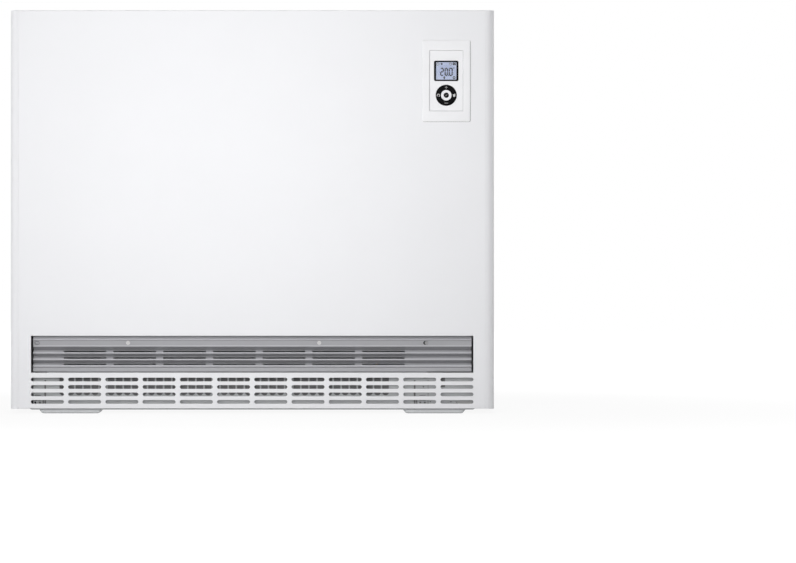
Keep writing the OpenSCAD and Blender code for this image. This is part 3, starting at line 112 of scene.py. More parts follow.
class Finish:
    """A material: one Principled shader, fed by textures that lie in the frame's own metres."""

    def __init__(self, name, color, roughness, metallic=0.0, specular=0.5):
        self.material = bpy.data.materials.new(name)
        self.material.use_nodes = True
        self.tree = self.material.node_tree
        self.shader = self.tree.nodes["Principled BSDF"]
        self.set("Base Color", (*color, 1.0))
        self.set("Roughness", roughness)
        self.set("Metallic", metallic)
        self.set("Specular IOR Level", specular)
        self.place = self.add("ShaderNodeTexCoord").outputs["Object"]

    def set(self, socket, value):
        self.shader.inputs[socket].default_value = value

    def add(self, kind, **settings):
        node = self.tree.nodes.new(kind)
        for key, value in settings.items():
            setattr(node, key, value)
        return node

    def link(self, source, target):
        self.tree.links.new(source, target)

    def stretched(self, stretch, shift=(0, 0, 0)):
        """The place in the frame, moved by -shift and then scaled along each axis."""
        moved = self.add("ShaderNodeVectorMath", operation="SUBTRACT")
        moved.inputs[1].default_value = shift
        self.link(self.place, moved.inputs[0])
        scaled = self.add("ShaderNodeVectorMath", operation="MULTIPLY")
        scaled.inputs[1].default_value = stretch
        self.link(moved.outputs[0], scaled.inputs[0])
        return scaled.outputs[0]

    def noise(self, size, detail=2.0, stretch=(1, 1, 1)):
        """Soft noise from 0 to 1 with features of about that size."""
        node = self.add("ShaderNodeTexNoise")
        node.inputs["Scale"].default_value = 1 / size
        node.inputs["Detail"].default_value = detail
        self.link(self.stretched(stretch), node.inputs["Vector"])
        return node.outputs["Fac"]

    def cells(self, size, output="Color"):
        """Crystal-like cells: a value of its own for each, or the distance from its middle."""
        node = self.add("ShaderNodeTexVoronoi")
        node.inputs["Scale"].default_value = 1 / size
        self.link(self.place, node.inputs["Vector"])
        return node.outputs[output]

    def bands(self, size, axis, peak=0.0):
        """Even bands from 0 to 1, one to a length of size along an axis, with a 1 at peak."""
        node = self.add("ShaderNodeTexWave", bands_direction=axis)
        node.inputs["Scale"].default_value = WAVE_LENGTH / size
        node.inputs["Phase Offset"].default_value = math.pi - math.tau * (peak / size % 1)
        self.link(self.place, node.inputs["Vector"])
        return node.outputs["Fac"]

    def along_z(self, source):
        """The z part of a place or a direction."""
        node = self.add("ShaderNodeSeparateXYZ")
        self.link(source, node.inputs[0])
        return node.outputs["Z"]

    def remap(self, source, low, high, source_low=0.0, source_high=1.0):
        """A value that goes from low to high as the source does from source_low to source_high."""
        node = self.add("ShaderNodeMapRange")
        node.inputs["From Min"].default_value = source_low
        node.inputs["From Max"].default_value = source_high
        node.inputs["To Min"].default_value = low
        node.inputs["To Max"].default_value = high
        self.link(source, node.inputs["Value"])
        return node.outputs["Result"]

    def math(self, operation, a, b):
        node = self.add("ShaderNodeMath", operation=operation)
        self.link(a, node.inputs[0])
        self.link(b, node.inputs[1])
        return node.outputs[0]

    def mix(self, factor, low, high):
        """A colour from low to high. Either may be a colour or the output of another mix."""
        node = self.add("ShaderNodeMix", data_type="RGBA")
        self.link(factor, node.inputs["Factor"])
        for socket, value in ((node.inputs[MIX_LOW], low), (node.inputs[MIX_HIGH], high)):
            if isinstance(value, tuple):
                socket.default_value = (*value, 1.0)
            else:
                self.link(value, socket)
        return node.outputs[MIX_RESULT]

    def vary_color(self, factor, low, high):
        self.link(self.mix(factor, low, high), self.shader.inputs["Base Color"])

    def vary_roughness(self, factor, low, high):
        self.link(self.remap(factor, low, high), self.shader.inputs["Roughness"])

    def bump(self, height, depth):
        """Relief of that depth."""
        node = self.add("ShaderNodeBump")
        node.inputs["Strength"].default_value = 1.0
        node.inputs["Distance"].default_value = depth
        self.link(height, node.inputs["Height"])
        self.link(node.outputs["Normal"], self.shader.inputs["Normal"])


def stoved_coat(name, color, gloss):
    """A stoved coating in one colour: uneven gloss and the fine waviness called orange peel."""
    finish = Finish(name, color, gloss)
    finish.vary_roughness(finish.noise(15 * MM, 3.0), gloss - 0.05, gloss + 0.07)
    finish.bump(finish.noise(1.8 * MM), 0.006 * MM)
    return finish


def powder_coat(name, color, gloss):
    """Powder coating on flat sheet, with faint mottling."""
    finish = stoved_coat(name, color, gloss)
    finish.vary_color(finish.noise(120 * MM), tone(color, 0.985), tone(color, 1.01))
    return finish


def ridged_coat(name, color, gloss):
    """Powder coating on the pressed grille, with painted highlights over its folds and hem and painted
    shade on its undersides.
    """
    # Tones of the painted highlights over the folds and hem, and of the painted shade on the undersides
    fold_highlight_tone, hem_highlight_tone, underside_shade_tone = 1.65, 1.35, 0.72
    pitch, fold_z = 10.6 * MM, 98.1 * MM
    band_low, band_high = 107.5 * MM, 111 * MM
    band_share = 0.3
    hem_low, hem_high = 120.2 * MM, 121.2 * MM
    finish = stoved_coat(name, color, gloss)
    mottled = finish.mix(finish.noise(90 * MM), tone(color, 0.98), tone(color, 1.02))
    height = finish.along_z(finish.place)
    # Painted highlight along each fold's lip, full outside the plain band and weaker on it
    fold_light_bands = finish.remap(finish.bands(pitch, "Z", fold_z), 0.0, 1.0, 0.72, 0.92)
    below_band = finish.remap(height, 1.0, band_share, band_low - 1.5 * MM, band_low)
    above_band = finish.remap(height, band_share, 1.0, band_high, band_high + 1 * MM)
    fold_highlight_mask = finish.math("MULTIPLY", fold_light_bands, finish.math("MAXIMUM", below_band, above_band))
    fold_lit = finish.mix(fold_highlight_mask, mottled, tone(color, fold_highlight_tone))
    # Painted highlight over the hem
    hem_highlight_mask = finish.remap(height, 0.0, 1.0, hem_low, hem_high)
    hem_lit = finish.mix(hem_highlight_mask, fold_lit, tone(color, hem_highlight_tone))
    # Painted shade on the surfaces that face down
    facing = finish.add("ShaderNodeNewGeometry").outputs["Normal"]
    underside_shade_mask = finish.remap(finish.along_z(facing), 1.0, 0.0, -0.65, -0.3)
    finish.vary_color(underside_shade_mask, hem_lit, tone(color, underside_shade_tone))
    return finish


def galvanised_sheet(name):
    """Hot-dip zinc: flower-like crystals that differ in tone and gloss."""
    color = (0.49, 0.5, 0.51)
    crystal = 7 * MM
    finish = Finish(name, color, 0.5, metallic=0.45)
    flower = finish.cells(crystal)
    cloud = finish.noise(60 * MM, 3.0)
    crystals = finish.mix(flower, tone(color, 0.88), tone(color, 1.12))
    finish.vary_color(cloud, crystals, tone(color, 0.95))
    finish.vary_roughness(flower, 0.4, 0.6)
    finish.bump(finish.cells(crystal, "Distance"), 0.01 * MM)
    return finish


def brushed_metal(name, color, roughness, stretch):
    """Drawn or rolled metal, with fine lines along the axis that stretch leaves long."""
    finish = Finish(name, color, roughness, metallic=1.0)
    lines = finish.noise(0.4 * MM, 4.0, stretch)
    finish.vary_color(lines, tone(color, 0.85), tone(color, 1.1))
    finish.vary_roughness(lines, roughness - 0.08, roughness + 0.1)
    finish.bump(lines, 0.01 * MM)
    return finish


def moulded_plastic(name, color, roughness, specular=0.5):
    """Moulded plastic: a fine even grain and slightly uneven gloss."""
    finish = Finish(name, color, roughness, specular=specular)
    finish.vary_color(finish.noise(30 * MM), tone(color, 0.96), tone(color, 1.03))
    finish.vary_roughness(finish.noise(6 * MM, 3.0), roughness - 0.04, roughness + 0.06)
    finish.bump(finish.noise(0.9 * MM, 3.0), 0.008 * MM)
    return finish


def sintered_bronze(name):
    """Pressed bronze powder, with dark oil in its pores."""
    bronze, oil, powder = (0.42, 0.27, 0.12), (0.2, 0.12, 0.06), (0.5, 0.33, 0.16)
    finish = Finish(name, bronze, 0.5, metallic=0.9)
    pores = finish.cells(0.5 * MM, "Distance")
    finish.vary_color(pores, oil, powder)
    finish.bump(pores, 0.03 * MM)
    return finish


def wound_wire(name):
    """Enamelled copper wire in close turns."""
    copper, groove, crest = (0.5, 0.2, 0.07), (0.22, 0.07, 0.03), (0.62, 0.27, 0.1)
    finish = Finish(name, copper, 0.3, metallic=0.8)
    turns = finish.bands(0.5 * MM, "X")
    finish.vary_color(turns, groove, crest)
    finish.bump(turns, 0.1 * MM)
    return finish


def laminated_iron(name):
    """Thin iron sheets stacked along the shaft."""
    iron, joint, sheet = (0.3, 0.31, 0.32), (0.12, 0.12, 0.13), (0.36, 0.37, 0.38)
    finish = Finish(name, iron, 0.5, metallic=0.9)
    sheets = finish.bands(0.6 * MM, "X")
    finish.vary_color(sheets, joint, sheet)
    finish.bump(sheets, 0.05 * MM)
    return finish


def pressed_brick(name):
    """Pressed magnetite: dark grains with rusty ones among them."""
    brick, dark = (0.12, 0.09, 0.08), (0.05, 0.045, 0.045)
    ore, rust = (0.09, 0.08, 0.08), (0.2, 0.11, 0.07)
    finish = Finish(name, brick, 0.9, specular=0.3)
    grains = finish.cells(1.6 * MM)
    rusty = finish.mix(finish.noise(25 * MM, 4.0), ore, rust)
    finish.vary_color(grains, rusty, dark)
    finish.bump(finish.noise(2 * MM, 5.0), 0.3 * MM)
    return finish


def mineral_wool(name):
    """Pressed insulation board: pale felted fibres."""
    board, deep, loose = (0.66, 0.6, 0.45), (0.5, 0.44, 0.31), (0.76, 0.71, 0.57)
    finish = Finish(name, board, 0.95, specular=0.2)
    fibres = finish.noise(1.2 * MM, 6.0, (0.2, 1.0, 1.0))
    finish.vary_color(fibres, deep, loose)
    finish.bump(fibres, 0.5 * MM)
    return finish


def filter_weave(name):
    """Fine dark gauze: square holes between woven threads."""
    pitch = 0.8 * MM
    gauze, hole, thread = (0.1, 0.1, 0.105), (0.11, 0.11, 0.112), (0.27, 0.27, 0.275)
    finish = Finish(name, gauze, 0.7)
    threads = finish.math("MAXIMUM", finish.bands(pitch, "X"), finish.bands(pitch, "Z"))
    finish.vary_color(threads, hole, thread)
    finish.bump(threads, 0.15 * MM)
    return finish


def printed_board(name):
    """Green solder resist over copper tracks."""
    board, resist, track = (0.05, 0.2, 0.09), (0.03, 0.14, 0.06), (0.08, 0.27, 0.12)
    finish = Finish(name, board, 0.35)
    tracks = finish.math("GREATER_THAN", finish.cells(5 * MM, "Distance"), finish.noise(9 * MM, 1.0))
    finish.vary_color(tracks, resist, track)
    finish.bump(tracks, 0.04 * MM)
    return finish


def soft_rubber(name):
    """Moulded rubber with a dull bloom."""
    rubber, clean, bloom = (0.03, 0.03, 0.03), (0.02, 0.02, 0.02), (0.055, 0.055, 0.055)
    finish = Finish(name, rubber, 0.75, specular=0.3)
    finish.vary_color(finish.noise(5 * MM, 4.0), clean, bloom)
    finish.bump(finish.noise(0.8 * MM, 3.0), 0.03 * MM)
    return finish


def lit_display(name):
    """Liquid crystal glass over a cool backlight, whose glow is painted into its colour, brighter
    towards its edges.
    """
    inner, outer = (0.36, 0.43, 0.66), (0.57, 0.65, 0.84)
    centre = middle("display_panel")
    lo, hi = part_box("display_panel")
    finish = Finish(name, inner, 0.3)
    stretch = (2 / (hi.x - lo.x), 0, 2 / (hi.z - lo.z))
    radius = finish.add("ShaderNodeVectorMath", operation="LENGTH")
    finish.link(finish.stretched(stretch, centre), radius.inputs[0])
    # Painted backlight glow, brighter towards the display's edges
    edge = finish.remap(radius.outputs["Value"], 0.0, 1.0, 0.5, 1.3)
    finish.vary_color(edge, inner, outer)
    finish.vary_roughness(finish.noise(4 * MM), 0.25, 0.35)
    return finish


def clear_pane(name):
    """Thin clear plastic with a faint haze."""
    finish = Finish(name, (0.8, 0.82, 0.86), 0.08)
    finish.vary_roughness(finish.noise(8 * MM), 0.05, 0.1)
    finish.set("Alpha", 0.06)
    return finish


def make_finishes():
    """One finish for each material slot of the record."""
    along_x, along_z = (0.02, 1.0, 1.0), (1.0, 1.0, 0.02)
    deep_black, dull = (0.004, 0.004, 0.0045), 0.03
    finishes = {
        "white_enamel": powder_coat("white_enamel", (0.9, 0.903, 0.925), 0.38),
        "grey_enamel": ridged_coat("grey_enamel", (0.355, 0.355, 0.375), 0.42),
        "galvanised_steel": galvanised_sheet("galvanised_steel"),
        "bright_steel": brushed_metal("bright_steel", (0.62, 0.62, 0.61), 0.32, along_x),
        "aluminium": brushed_metal("aluminium", (0.72, 0.73, 0.74), 0.38, along_x),
        "sintered_bronze": sintered_bronze("sintered_bronze"),
        "bimetal": brushed_metal("bimetal", (0.72, 0.6, 0.4), 0.35, along_x),
        "motor_iron": laminated_iron("motor_iron"),
        "copper_winding": wound_wire("copper_winding"),
        "magnetite_brick": pressed_brick("magnetite_brick"),
        "element_steel": brushed_metal("element_steel", (0.28, 0.26, 0.25), 0.5, along_z),
        "insulation_wool": mineral_wool("insulation_wool"),
        "filter_mesh": filter_weave("filter_mesh"),
        "terminal_plastic": moulded_plastic("terminal_plastic", (0.72, 0.7, 0.64), 0.5),
        "dark_plastic": moulded_plastic("dark_plastic", (0.045, 0.045, 0.048), 0.5),
        "circuit_board": printed_board("circuit_board"),
        "reset_plastic": moulded_plastic("reset_plastic", (0.33, 0.33, 0.33), 0.45),
        "rubber": soft_rubber("rubber"),
        "light_plastic": moulded_plastic("light_plastic", (0.62, 0.62, 0.61), 0.45),
        "white_plastic": moulded_plastic("white_plastic", (0.92, 0.922, 0.94), 0.34),
        "display_glass": moulded_plastic("display_glass", deep_black, 0.3, specular=dull),
        "display_lcd": lit_display("display_lcd"),
        "grey_plastic": moulded_plastic("grey_plastic", (0.2, 0.2, 0.2), 0.5),
        "black_plastic": moulded_plastic("black_plastic", deep_black, 0.45, specular=dull),
    }
    return {slot: finish.material for slot, finish in finishes.items()}


FINISHES = make_finishes()


def coat_nodes():
    """Every CAD node gets the finish of its slot."""
    for node, obj in frame["nodes"].items():
        obj.data.materials.clear()
        obj.data.materials.append(FINISHES[SLOT_OF[node]])


# ---------------------------------------------------------------- softened copies of the visible nodes


# Faces that meet at more than SHARP have an edge to round, and at less than FLAT they're one face
SHARP = math.radians(30)
FLAT = math.radians(0.5)
# Points of a mesh that are nearer than this are one point
WELD = 0.001 * MM
EDGE_SEGMENTS = 3


def join_flat(mesh):
    """Makes one face of the faces that lie in one plane."""
    bmesh.ops.dissolve_limit(mesh, angle_limit=FLAT, verts=mesh.verts, edges=mesh.edges)


def bevel(mesh, edges, radius):
    """Rounds edges with a radius in millimetres."""
    bmesh.ops.bevel(mesh, geom=edges, offset=radius * MM, offset_type="OFFSET", segments=EDGE_SEGMENTS,
                    profile=0.5, affect="EDGES", clamp_overlap=False)


def round_edges(mesh, radius):
    """Rounds every sharp edge and smooths what lies between them."""
    join_flat(mesh)
    bevel(mesh, [e for e in mesh.edges if e.is_manifold and e.calc_face_angle() > SHARP], radius)
    for face in mesh.faces:
        face.smooth = True


def make_piece(name, mesh, node, slot):
    """The object of a bmesh, on a node's body and with the finish of a slot."""
    data = bpy.data.meshes.new(name)
    mesh.to_mesh(data)
    mesh.free()
    piece = bpy.data.objects.new(name, data)
    bpy.context.collection.objects.link(piece)
    piece.data.materials.append(FINISHES[slot])
    smoother = piece.modifiers.new("even_faces", "WEIGHTED_NORMAL")
    smoother.keep_sharp = True
    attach(piece, frame["nodes"][node]["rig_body"])
    return piece


# How far the grille's sheet is pressed back and down at some of its heights, all in millimetres:
# three lips, the plain band over them and the hem
LIP_TILT = 1.6
LIPS_AND_BAND = [
    (75.9, 0, 0.3), (78.3, LIP_TILT, 0.6), (81.3, 0, 0.3),
    (86.5, 0, 0.6), (88.9, LIP_TILT, 1.1), (91.9, 0, 0.6),
    (97.1, 0, 0.5), (99.5, LIP_TILT, 1.1), (102.5, 0, 0.7),
    (107.7, 0, 0),
]
HEM = [(120.4, 0, 0), (120.9, 1.1, 0), (125.7, 0, 0)]
GRILLE_PRESS = LIPS_AND_BAND + HEM


def pressed(z):
    """How far the grille's sheet is pressed back and down at height z, in metres."""
    for (z0, back0, down0), (z1, back1, down1) in zip(GRILLE_PRESS, GRILLE_PRESS[1:]):
        if z0 * MM <= z <= z1 * MM:
            share = (z / MM - z0) / (z1 - z0)
            return (back0 + (back1 - back0) * share) * MM, (down0 + (down1 - down0) * share) * MM
    return 0.0, 0.0


def cut_level(mesh, heights):
    """Divides a mesh's faces at heights in millimetres."""
    on_plane = 0.01 * MM
    for z in heights:
        everything = [*mesh.verts, *mesh.edges, *mesh.faces]
        bmesh.ops.bisect_plane(mesh, geom=everything, plane_co=(0, 0, z * MM), plane_no=(0, 0, 1),
                               dist=on_plane)


def press_grille(mesh):
    """Tilts the grille's lips, moves its slots down, and steps its hem back."""
    cut_level(mesh, [z for z, _, _ in HEM])
    for vert in mesh.verts:
        back, down = pressed(vert.co.z)
        vert.co.y += back
        vert.co.z -= down


# A foot's radius at the floor, and the heights at which its sides are divided for it, in millimetres
FOOT_RADIUS = 2.2
FOOT_LEVELS = (0.5, 1.2, FOOT_RADIUS)


def round_foot(mesh):
    """Draws a pressed foot's sides in towards its floor, with a wide radius."""
    radius = FOOT_RADIUS * MM
    cut_level(mesh, FOOT_LEVELS)
    near = [min(v.co[axis] for v in mesh.verts) for axis in (0, 1)]
    far = [max(v.co[axis] for v in mesh.verts) for axis in (0, 1)]
    for vert in mesh.verts:
        drop = 1 - min(vert.co.z / radius, 1)
        inset = radius * (1 - math.sqrt(1 - drop * drop))
        for axis in (0, 1):
            centre, half = (near[axis] + far[axis]) / 2, (far[axis] - near[axis]) / 2
            vert.co[axis] -= inset * (vert.co[axis] - centre) / half


def round_frame(mesh):
    """A wide radius along the edges of the control frame's front face."""
    radius = 0.8
    behind_face = front("control_frame") + 0.1 * MM
    join_flat(mesh)
    rim = [e for e in mesh.edges
           if max(v.co.y for v in e.verts) < behind_face and e.calc_face_angle(0) > SHARP]
    bevel(mesh, rim, radius)


# What is done to a node's copy before its edges are rounded
RESHAPED = {
    "outlet_grille": press_grille,
    "foot_left": round_foot,
    "foot_right": round_foot,
    "control_frame": round_frame,
}


def softened(node, radius):
    """A copy of a node with its sharp edges rounded, which stands for the node."""
    mesh = bmesh.new()
    mesh.from_mesh(frame["nodes"][node].data)
    bmesh.ops.remove_doubles(mesh, verts=mesh.verts, dist=WELD)
    if node in RESHAPED:
        RESHAPED[node](mesh)
    round_edges(mesh, radius)
    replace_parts(make_piece(f"{node}_finished", mesh, node, SLOT_OF[node]), node)


# Radius in millimetres of the rounded edges of each node that shows
EDGE_RADIUS = {
    "front_panel": 0.3,
    "side_panel_left": 0.25,
    "side_panel_right": 0.25,
    "top_cover": 0.25,
    "base_pan": 0.3,
    "foot_left": 0.35,
    "foot_right": 0.35,
    "outlet_grille": 0.35,
    "chassis_left": 0.2,
    "chassis_right": 0.2,
    "intake_plate": 0.2,
    "switch_panel": 0.2,
    "rear_panel": 0.2,
    "wall_brackets": 0.3,
    "casing_screws": 0.15,
    "cable_grommet": 0.5,
    "lock_left": 0.2,
    "lock_right": 0.2,
    "reset_button": 0.3,
    "control_frame": 0.2,
    "control_housing": 0.25,
    "key_ring": 0.3,
    "key_ok": 0.3,
}


def soften_nodes():
    for node, radius in EDGE_RADIUS.items():
        softened(node, radius)


# ---------------------------------------------------------------- plates, display and key signs

# All shapes here are in millimetres about a centre, x to the right and z up. A shape is a list of loops:
# its outline and the holes in it.

CORNER_STEPS = 6
ARC_STEPS = 24
DISC_POINTS = 36


def rounded_outline(w, h, r):
    """A rectangle with rounded corners."""
    points = []
    for quarter, (sx, sz) in enumerate(((1, 1), (-1, 1), (-1, -1), (1, -1))):
        for i in range(CORNER_STEPS + 1):
            angle = (quarter + i / CORNER_STEPS) * math.tau / 4
            x = sx * (w / 2 - r) + r * math.cos(angle)
            z = sz * (h / 2 - r) + r * math.sin(angle)
            points.append((x, z))
    return points


def arc(x, z, r, start, end, steps=ARC_STEPS):
    """Points on an arc, its angles in degrees."""
    angles = [math.radians(start + (end - start) * i / steps) for i in range(steps + 1)]
    return [(x + r * math.cos(a), z + r * math.sin(a)) for a in angles]


def disc(x, z, r):
    """A circle, closed by its first point."""
    last = DISC_POINTS - 1
    return arc(x, z, r, 0, 360 * last / DISC_POINTS, last)


def oval(half_w, half_h):
    """An upright oval about the centre."""
    return [(half_w * x, half_h * z) for x, z in disc(0, 0, 1.0)]


def ring(x, z, r, w):
    """A circle line of width w inside radius r: an outline and its hole."""
    return [disc(x, z, r), disc(x, z, r - w)]


def moved(outline, x, z):
    """An outline in another place."""
    return [(x + px, z + pz) for px, pz in outline]


def star(x, z, long, short, points):
    """A star whose points reach to radius long, and its notches to radius short."""
    corners = []
    for i in range(2 * points):
        angle = math.tau * i / (2 * points)
        r = (long, short)[i % 2]
        corners.append((x + r * math.cos(angle), z + r * math.sin(angle)))
    return corners


def stroke(start, end, w):
    """A stroke with pointed ends, like a segment of a figure, a little short of its ends."""
    gap_share = 0.08
    along = (Vector(end) - Vector(start)).normalized() * w / 2
    across = Vector((-along.y, along.x))
    a = Vector(start) + along * gap_share
    b = Vector(end) - along * gap_share
    points = (a, a + along + across, b - along + across, b, b - along - across, a + along - across)
    return [tuple(point) for point in points]


# Ends of the seven segments, as shares of a figure's half width and half height
SEGMENTS = {
    "top": ((-1, 1), (1, 1)),
    "upper_right": ((1, 1), (1, 0)),
    "lower_right": ((1, 0), (1, -1)),
    "bottom": ((-1, -1), (1, -1)),
    "lower_left": ((-1, 0), (-1, -1)),
    "upper_left": ((-1, 1), (-1, 0)),
    "middle": ((-1, 0), (1, 0)),
}
UNLIT = {"2": ("upper_left", "lower_right"), "0": ("middle",)}


# The figures' strokes, their height and the height of their middles
LINE = 1.9
FIGURE_H = 13.3
FIGURE_Z = -1.5
# Each figure, its middle and its width
FIGURES = (("2", -6.9, 6.1), ("0", 0.0, 5.4), ("0", 7.2, 6.6))
DECIMAL_POINT_X = 3.35


def figure(digit, x, w):
    """The lit segments of a digit."""
    half_w, half_h = (w - LINE) / 2, (FIGURE_H - LINE) / 2
    shapes = []
    for name, ends in SEGMENTS.items():
        if name not in UNLIT[digit]:
            start, end = [(x + sx * half_w, FIGURE_Z + sz * half_h) for sx, sz in ends]
            shapes.append([stroke(start, end, LINE)])
    return shapes


def add_prism(mesh, loops, centre, y0, y1):
    """A closed block from depth y0 to y1: an outline and the holes in it."""
    rims = []
    for loop in loops:
        near = [mesh.verts.new((centre.x + x * MM, y0, centre.z + z * MM)) for x, z in loop]
        far = [mesh.verts.new((centre.x + x * MM, y1, centre.z + z * MM)) for x, z in loop]
        rims.append((near, far))
    flat = [[Vector((x, z, 0)) for x, z in loop] for loop in loops]
    for side in (0, 1):
        verts = [vert for rim in rims for vert in rim[side]]
        for corners in tessellate_polygon(flat):
            mesh.faces.new([verts[i] for i in corners])
    for near, far in rims:
        for i, j in enumerate([*range(1, len(near)), 0]):
            mesh.faces.new((near[i], near[j], far[j], far[i]))


def make_plate(name, shapes, centre, y0, y1, node, slot, radius=0):
    """A flat piece of one or more shapes on a node, its edges rounded by radius."""
    mesh = bmesh.new()
    for loops in shapes:
        add_prism(mesh, loops, centre, y0, y1)
    bmesh.ops.recalc_face_normals(mesh, faces=mesh.faces)
    if radius:
        round_edges(mesh, radius)
    return make_piece(name, mesh, node, slot)


def make_print(name, shapes, centre, node, slot):
    """Ink on a node's front face, sunk into it a little."""
    ink = 0.08 * MM
    face = front(node)
    make_plate(name, shapes, centre, face - ink, face + ink, node, slot)


def make_display_glass():
    """The display's glass, with a black border round its clear opening."""
    view_w, view_h, view_r = 33.0, 28.2, 1.0
    border_r, fit = 2.4, 0.1
    pane_front, pane_back = 0.2 * MM, 0.6 * MM
    window = middle("display_window")
    lo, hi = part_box("display_window")
    w, h = (hi.x - lo.x) / MM, (hi.z - lo.z) / MM
    border = [rounded_outline(w, h, border_r), rounded_outline(view_w, view_h, view_r)]
    bezel = make_plate("display_border", [border], window, lo.y, hi.y, "display_window", "display_glass",
                       0.25)
    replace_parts(bezel, "display_window")
    clear = [rounded_outline(view_w - fit, view_h - fit, view_r)]
    pane = make_plate("display_pane", [clear], window, lo.y + pane_front, lo.y + pane_back,
                      "display_window", "display_glass", 0.1)
    pane.data.materials[0] = clear_pane("display_pane").material


def temperature():
    """The display's figures, with a decimal point and a degree sign."""
    point_r = 0.7
    shapes = []
    for digit, x, w in FIGURES:
        shapes += figure(digit, x, w)
    shapes.append([disc(DECIMAL_POINT_X, FIGURE_Z - FIGURE_H / 2 + point_r, point_r)])
    shapes.append(ring(12.2, 4.4, 1.2, 0.5))
    return shapes


def dark_signs():
    """A pointer, a sun, an open book and a shield."""
    lower_z = -10.9
    pointer = [(-1.5, 0), (0, -3.0), (1.5, 0), (0, 3.0)]
    sun = star(-7.3, 11.3, 1.9, 1.2, 8)
    pages = [moved(rounded_outline(2.3, 4.3, 0.5), 12.9 + side * 1.35, 11.4) for side in (-1, 1)]
    shield = [(-2.2, 1.2), (0, 2.6), (2.2, 1.2), (1.7, -1.2), (0, -2.6), (-1.7, -1.2)]
    hole = [(0.45 * x, 0.45 * z) for x, z in shield]
    return [[moved(pointer, -3.2, lower_z)], [sun], [pages[0]], [pages[1]],
            [moved(shield, 12.6, lower_z), moved(hole, 12.6, lower_z)]]


def clock(x, z, r, hand):
    """A clock's rim and its one hand, whose tip is given from the clock's middle."""
    rim_w, hand_w = 0.9, 0.7
    return [ring(x, z, r, rim_w), [stroke((x, z), (x + hand[0], z + hand[1]), hand_w)]]


def make_display():
    """The display's glass, and behind it the figures and signs on the display."""
    make_display_glass()
    window = middle("display_window")
    make_print("display_figures", temperature() + dark_signs(), window, "display_panel", "black_plastic")
    clocks = clock(-13.6, 11.1, 2.6, (0, 1.8)) + clock(7.0, 11.1, 2.4, (1.2, 1.1))
    make_print("display_signs", clocks, window, "display_panel", "grey_plastic")


def make_ring_signs():
    """Plus above, minus below, a turning arrow at the left and a flame at the right of the ring key."""
    keys = middle("key_ring")
    reach = 12.7
    half, arm = 0.6, 2.35
    plus = [(-half, arm), (-half, half), (-arm, half), (-arm, -half), (-half, -half), (-half, -arm),
            (half, -arm), (half, -half), (arm, -half), (arm, half), (half, half), (half, arm)]
    minus = rounded_outline(5.9, 1.3, 0.3)
    turn = arc(0, 0, 2.5, -70, 160) + arc(0, 0, 1.5, 160, -70)
    arrow_head = [(-3.3, 0.3), (-0.7, 0.9), (-1.9, -1.4)]
    flame = [(-2.1, 2.3), (-1.0, 1.3), (0.2, 1.6), (1.2, 2.8), (2.1, 1.9), (2.0, -1.0), (0.9, -2.7),
             (-1.2, -2.6), (-2.0, -0.8)]
    grey = [[moved(plus, 0, reach)], [moved(minus, 0, -reach)]]
    make_print("ring_signs", grey, keys, "key_ring", "grey_plastic")
    light = [[moved(turn, -reach, -0.2)], [moved(arrow_head, -reach, -0.6)], [moved(flame, reach, 0)]]
    make_print("ring_side_signs", light, keys, "key_ring", "light_plastic")


def make_centre_sign():
    """A dark hub on the centre key, with a tick on it."""
    keys = middle("key_ring")
    face = front("key_ok")
    hub_front, hub_back = face - 0.25 * MM, face + 0.2 * MM
    ink = 0.06 * MM
    tick = [(-1.7, 0.0), (-0.4, -1.6), (1.9, 1.3), (1.3, 1.8), (-0.45, -0.5), (-1.25, 0.45)]
    make_plate("centre_hub", [[disc(0, 0, 4.2)]], keys, hub_front, hub_back, "key_ok", "black_plastic",
               0.12)
    make_plate("centre_tick", [[tick]], keys, hub_front - ink, hub_front + ink, "key_ok", "grey_plastic")


# ---------------------------------------------------------------- small fittings


def make_seals():
    """Foam strips behind the chassis' front flanges, which close them against the fan drawer."""
    thick = 2.5 * MM
    side_inset = 2.2 * MM
    lap = 9 * MM
    shorter = 6
    plate_lo, plate_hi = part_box("intake_plate")
    height = (plate_hi.z - plate_lo.z) / MM - shorter
    strips = (("chassis_left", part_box("chassis_left")[0].x + side_inset, plate_lo.x + lap),
              ("chassis_right", plate_hi.x - lap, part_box("chassis_right")[1].x - side_inset))
    for node, x0, x1 in strips:
        centre = Vector(((x0 + x1) / 2, 0, (plate_lo.z + plate_hi.z) / 2))
        outline = rounded_outline((x1 - x0) / MM, height, 1.5)
        make_plate(f"{node}_seal", [[outline]], centre, plate_hi.y, plate_hi.y + thick, node,
                   "grey_plastic", 0.4)


def make_knock_out_shade():
    """A dark ring painted on the grille's plain band as the shade in the groove of a knock-out, the twin
    of the reset opening.
    """
    lips_proud = 1.0 * MM
    band_y = front("outlet_grille") + lips_proud
    proud, sunk = 0.05 * MM, 0.1 * MM
    centre = Vector((-347.2 * MM, 0, 113.4 * MM))
    # Painted shade: a thin dark ring where the knock-out's groove lies in shade
    groove = [[oval(3.8, 2.8), oval(3.4, 2.4)]]
    make_plate("grille_knock_out_shade", groove, centre, band_y - proud, band_y + sunk, "outlet_grille",
               "dark_plastic")


def make_reset_collar():
    """A dark collar round the reset button, seen through the left of its opening."""
    button_proud, thick = 1.2 * MM, 1.0 * MM
    face = front("reset_button") + button_proud
    outer = moved(oval(5.6, 4.2), -1.6, 0)
    inner = oval(3.05, 3.05)
    make_plate("reset_collar", [[outer, inner]], middle("reset_button"), face, face + thick,
               "safety_cutout", "dark_plastic", 0.1)


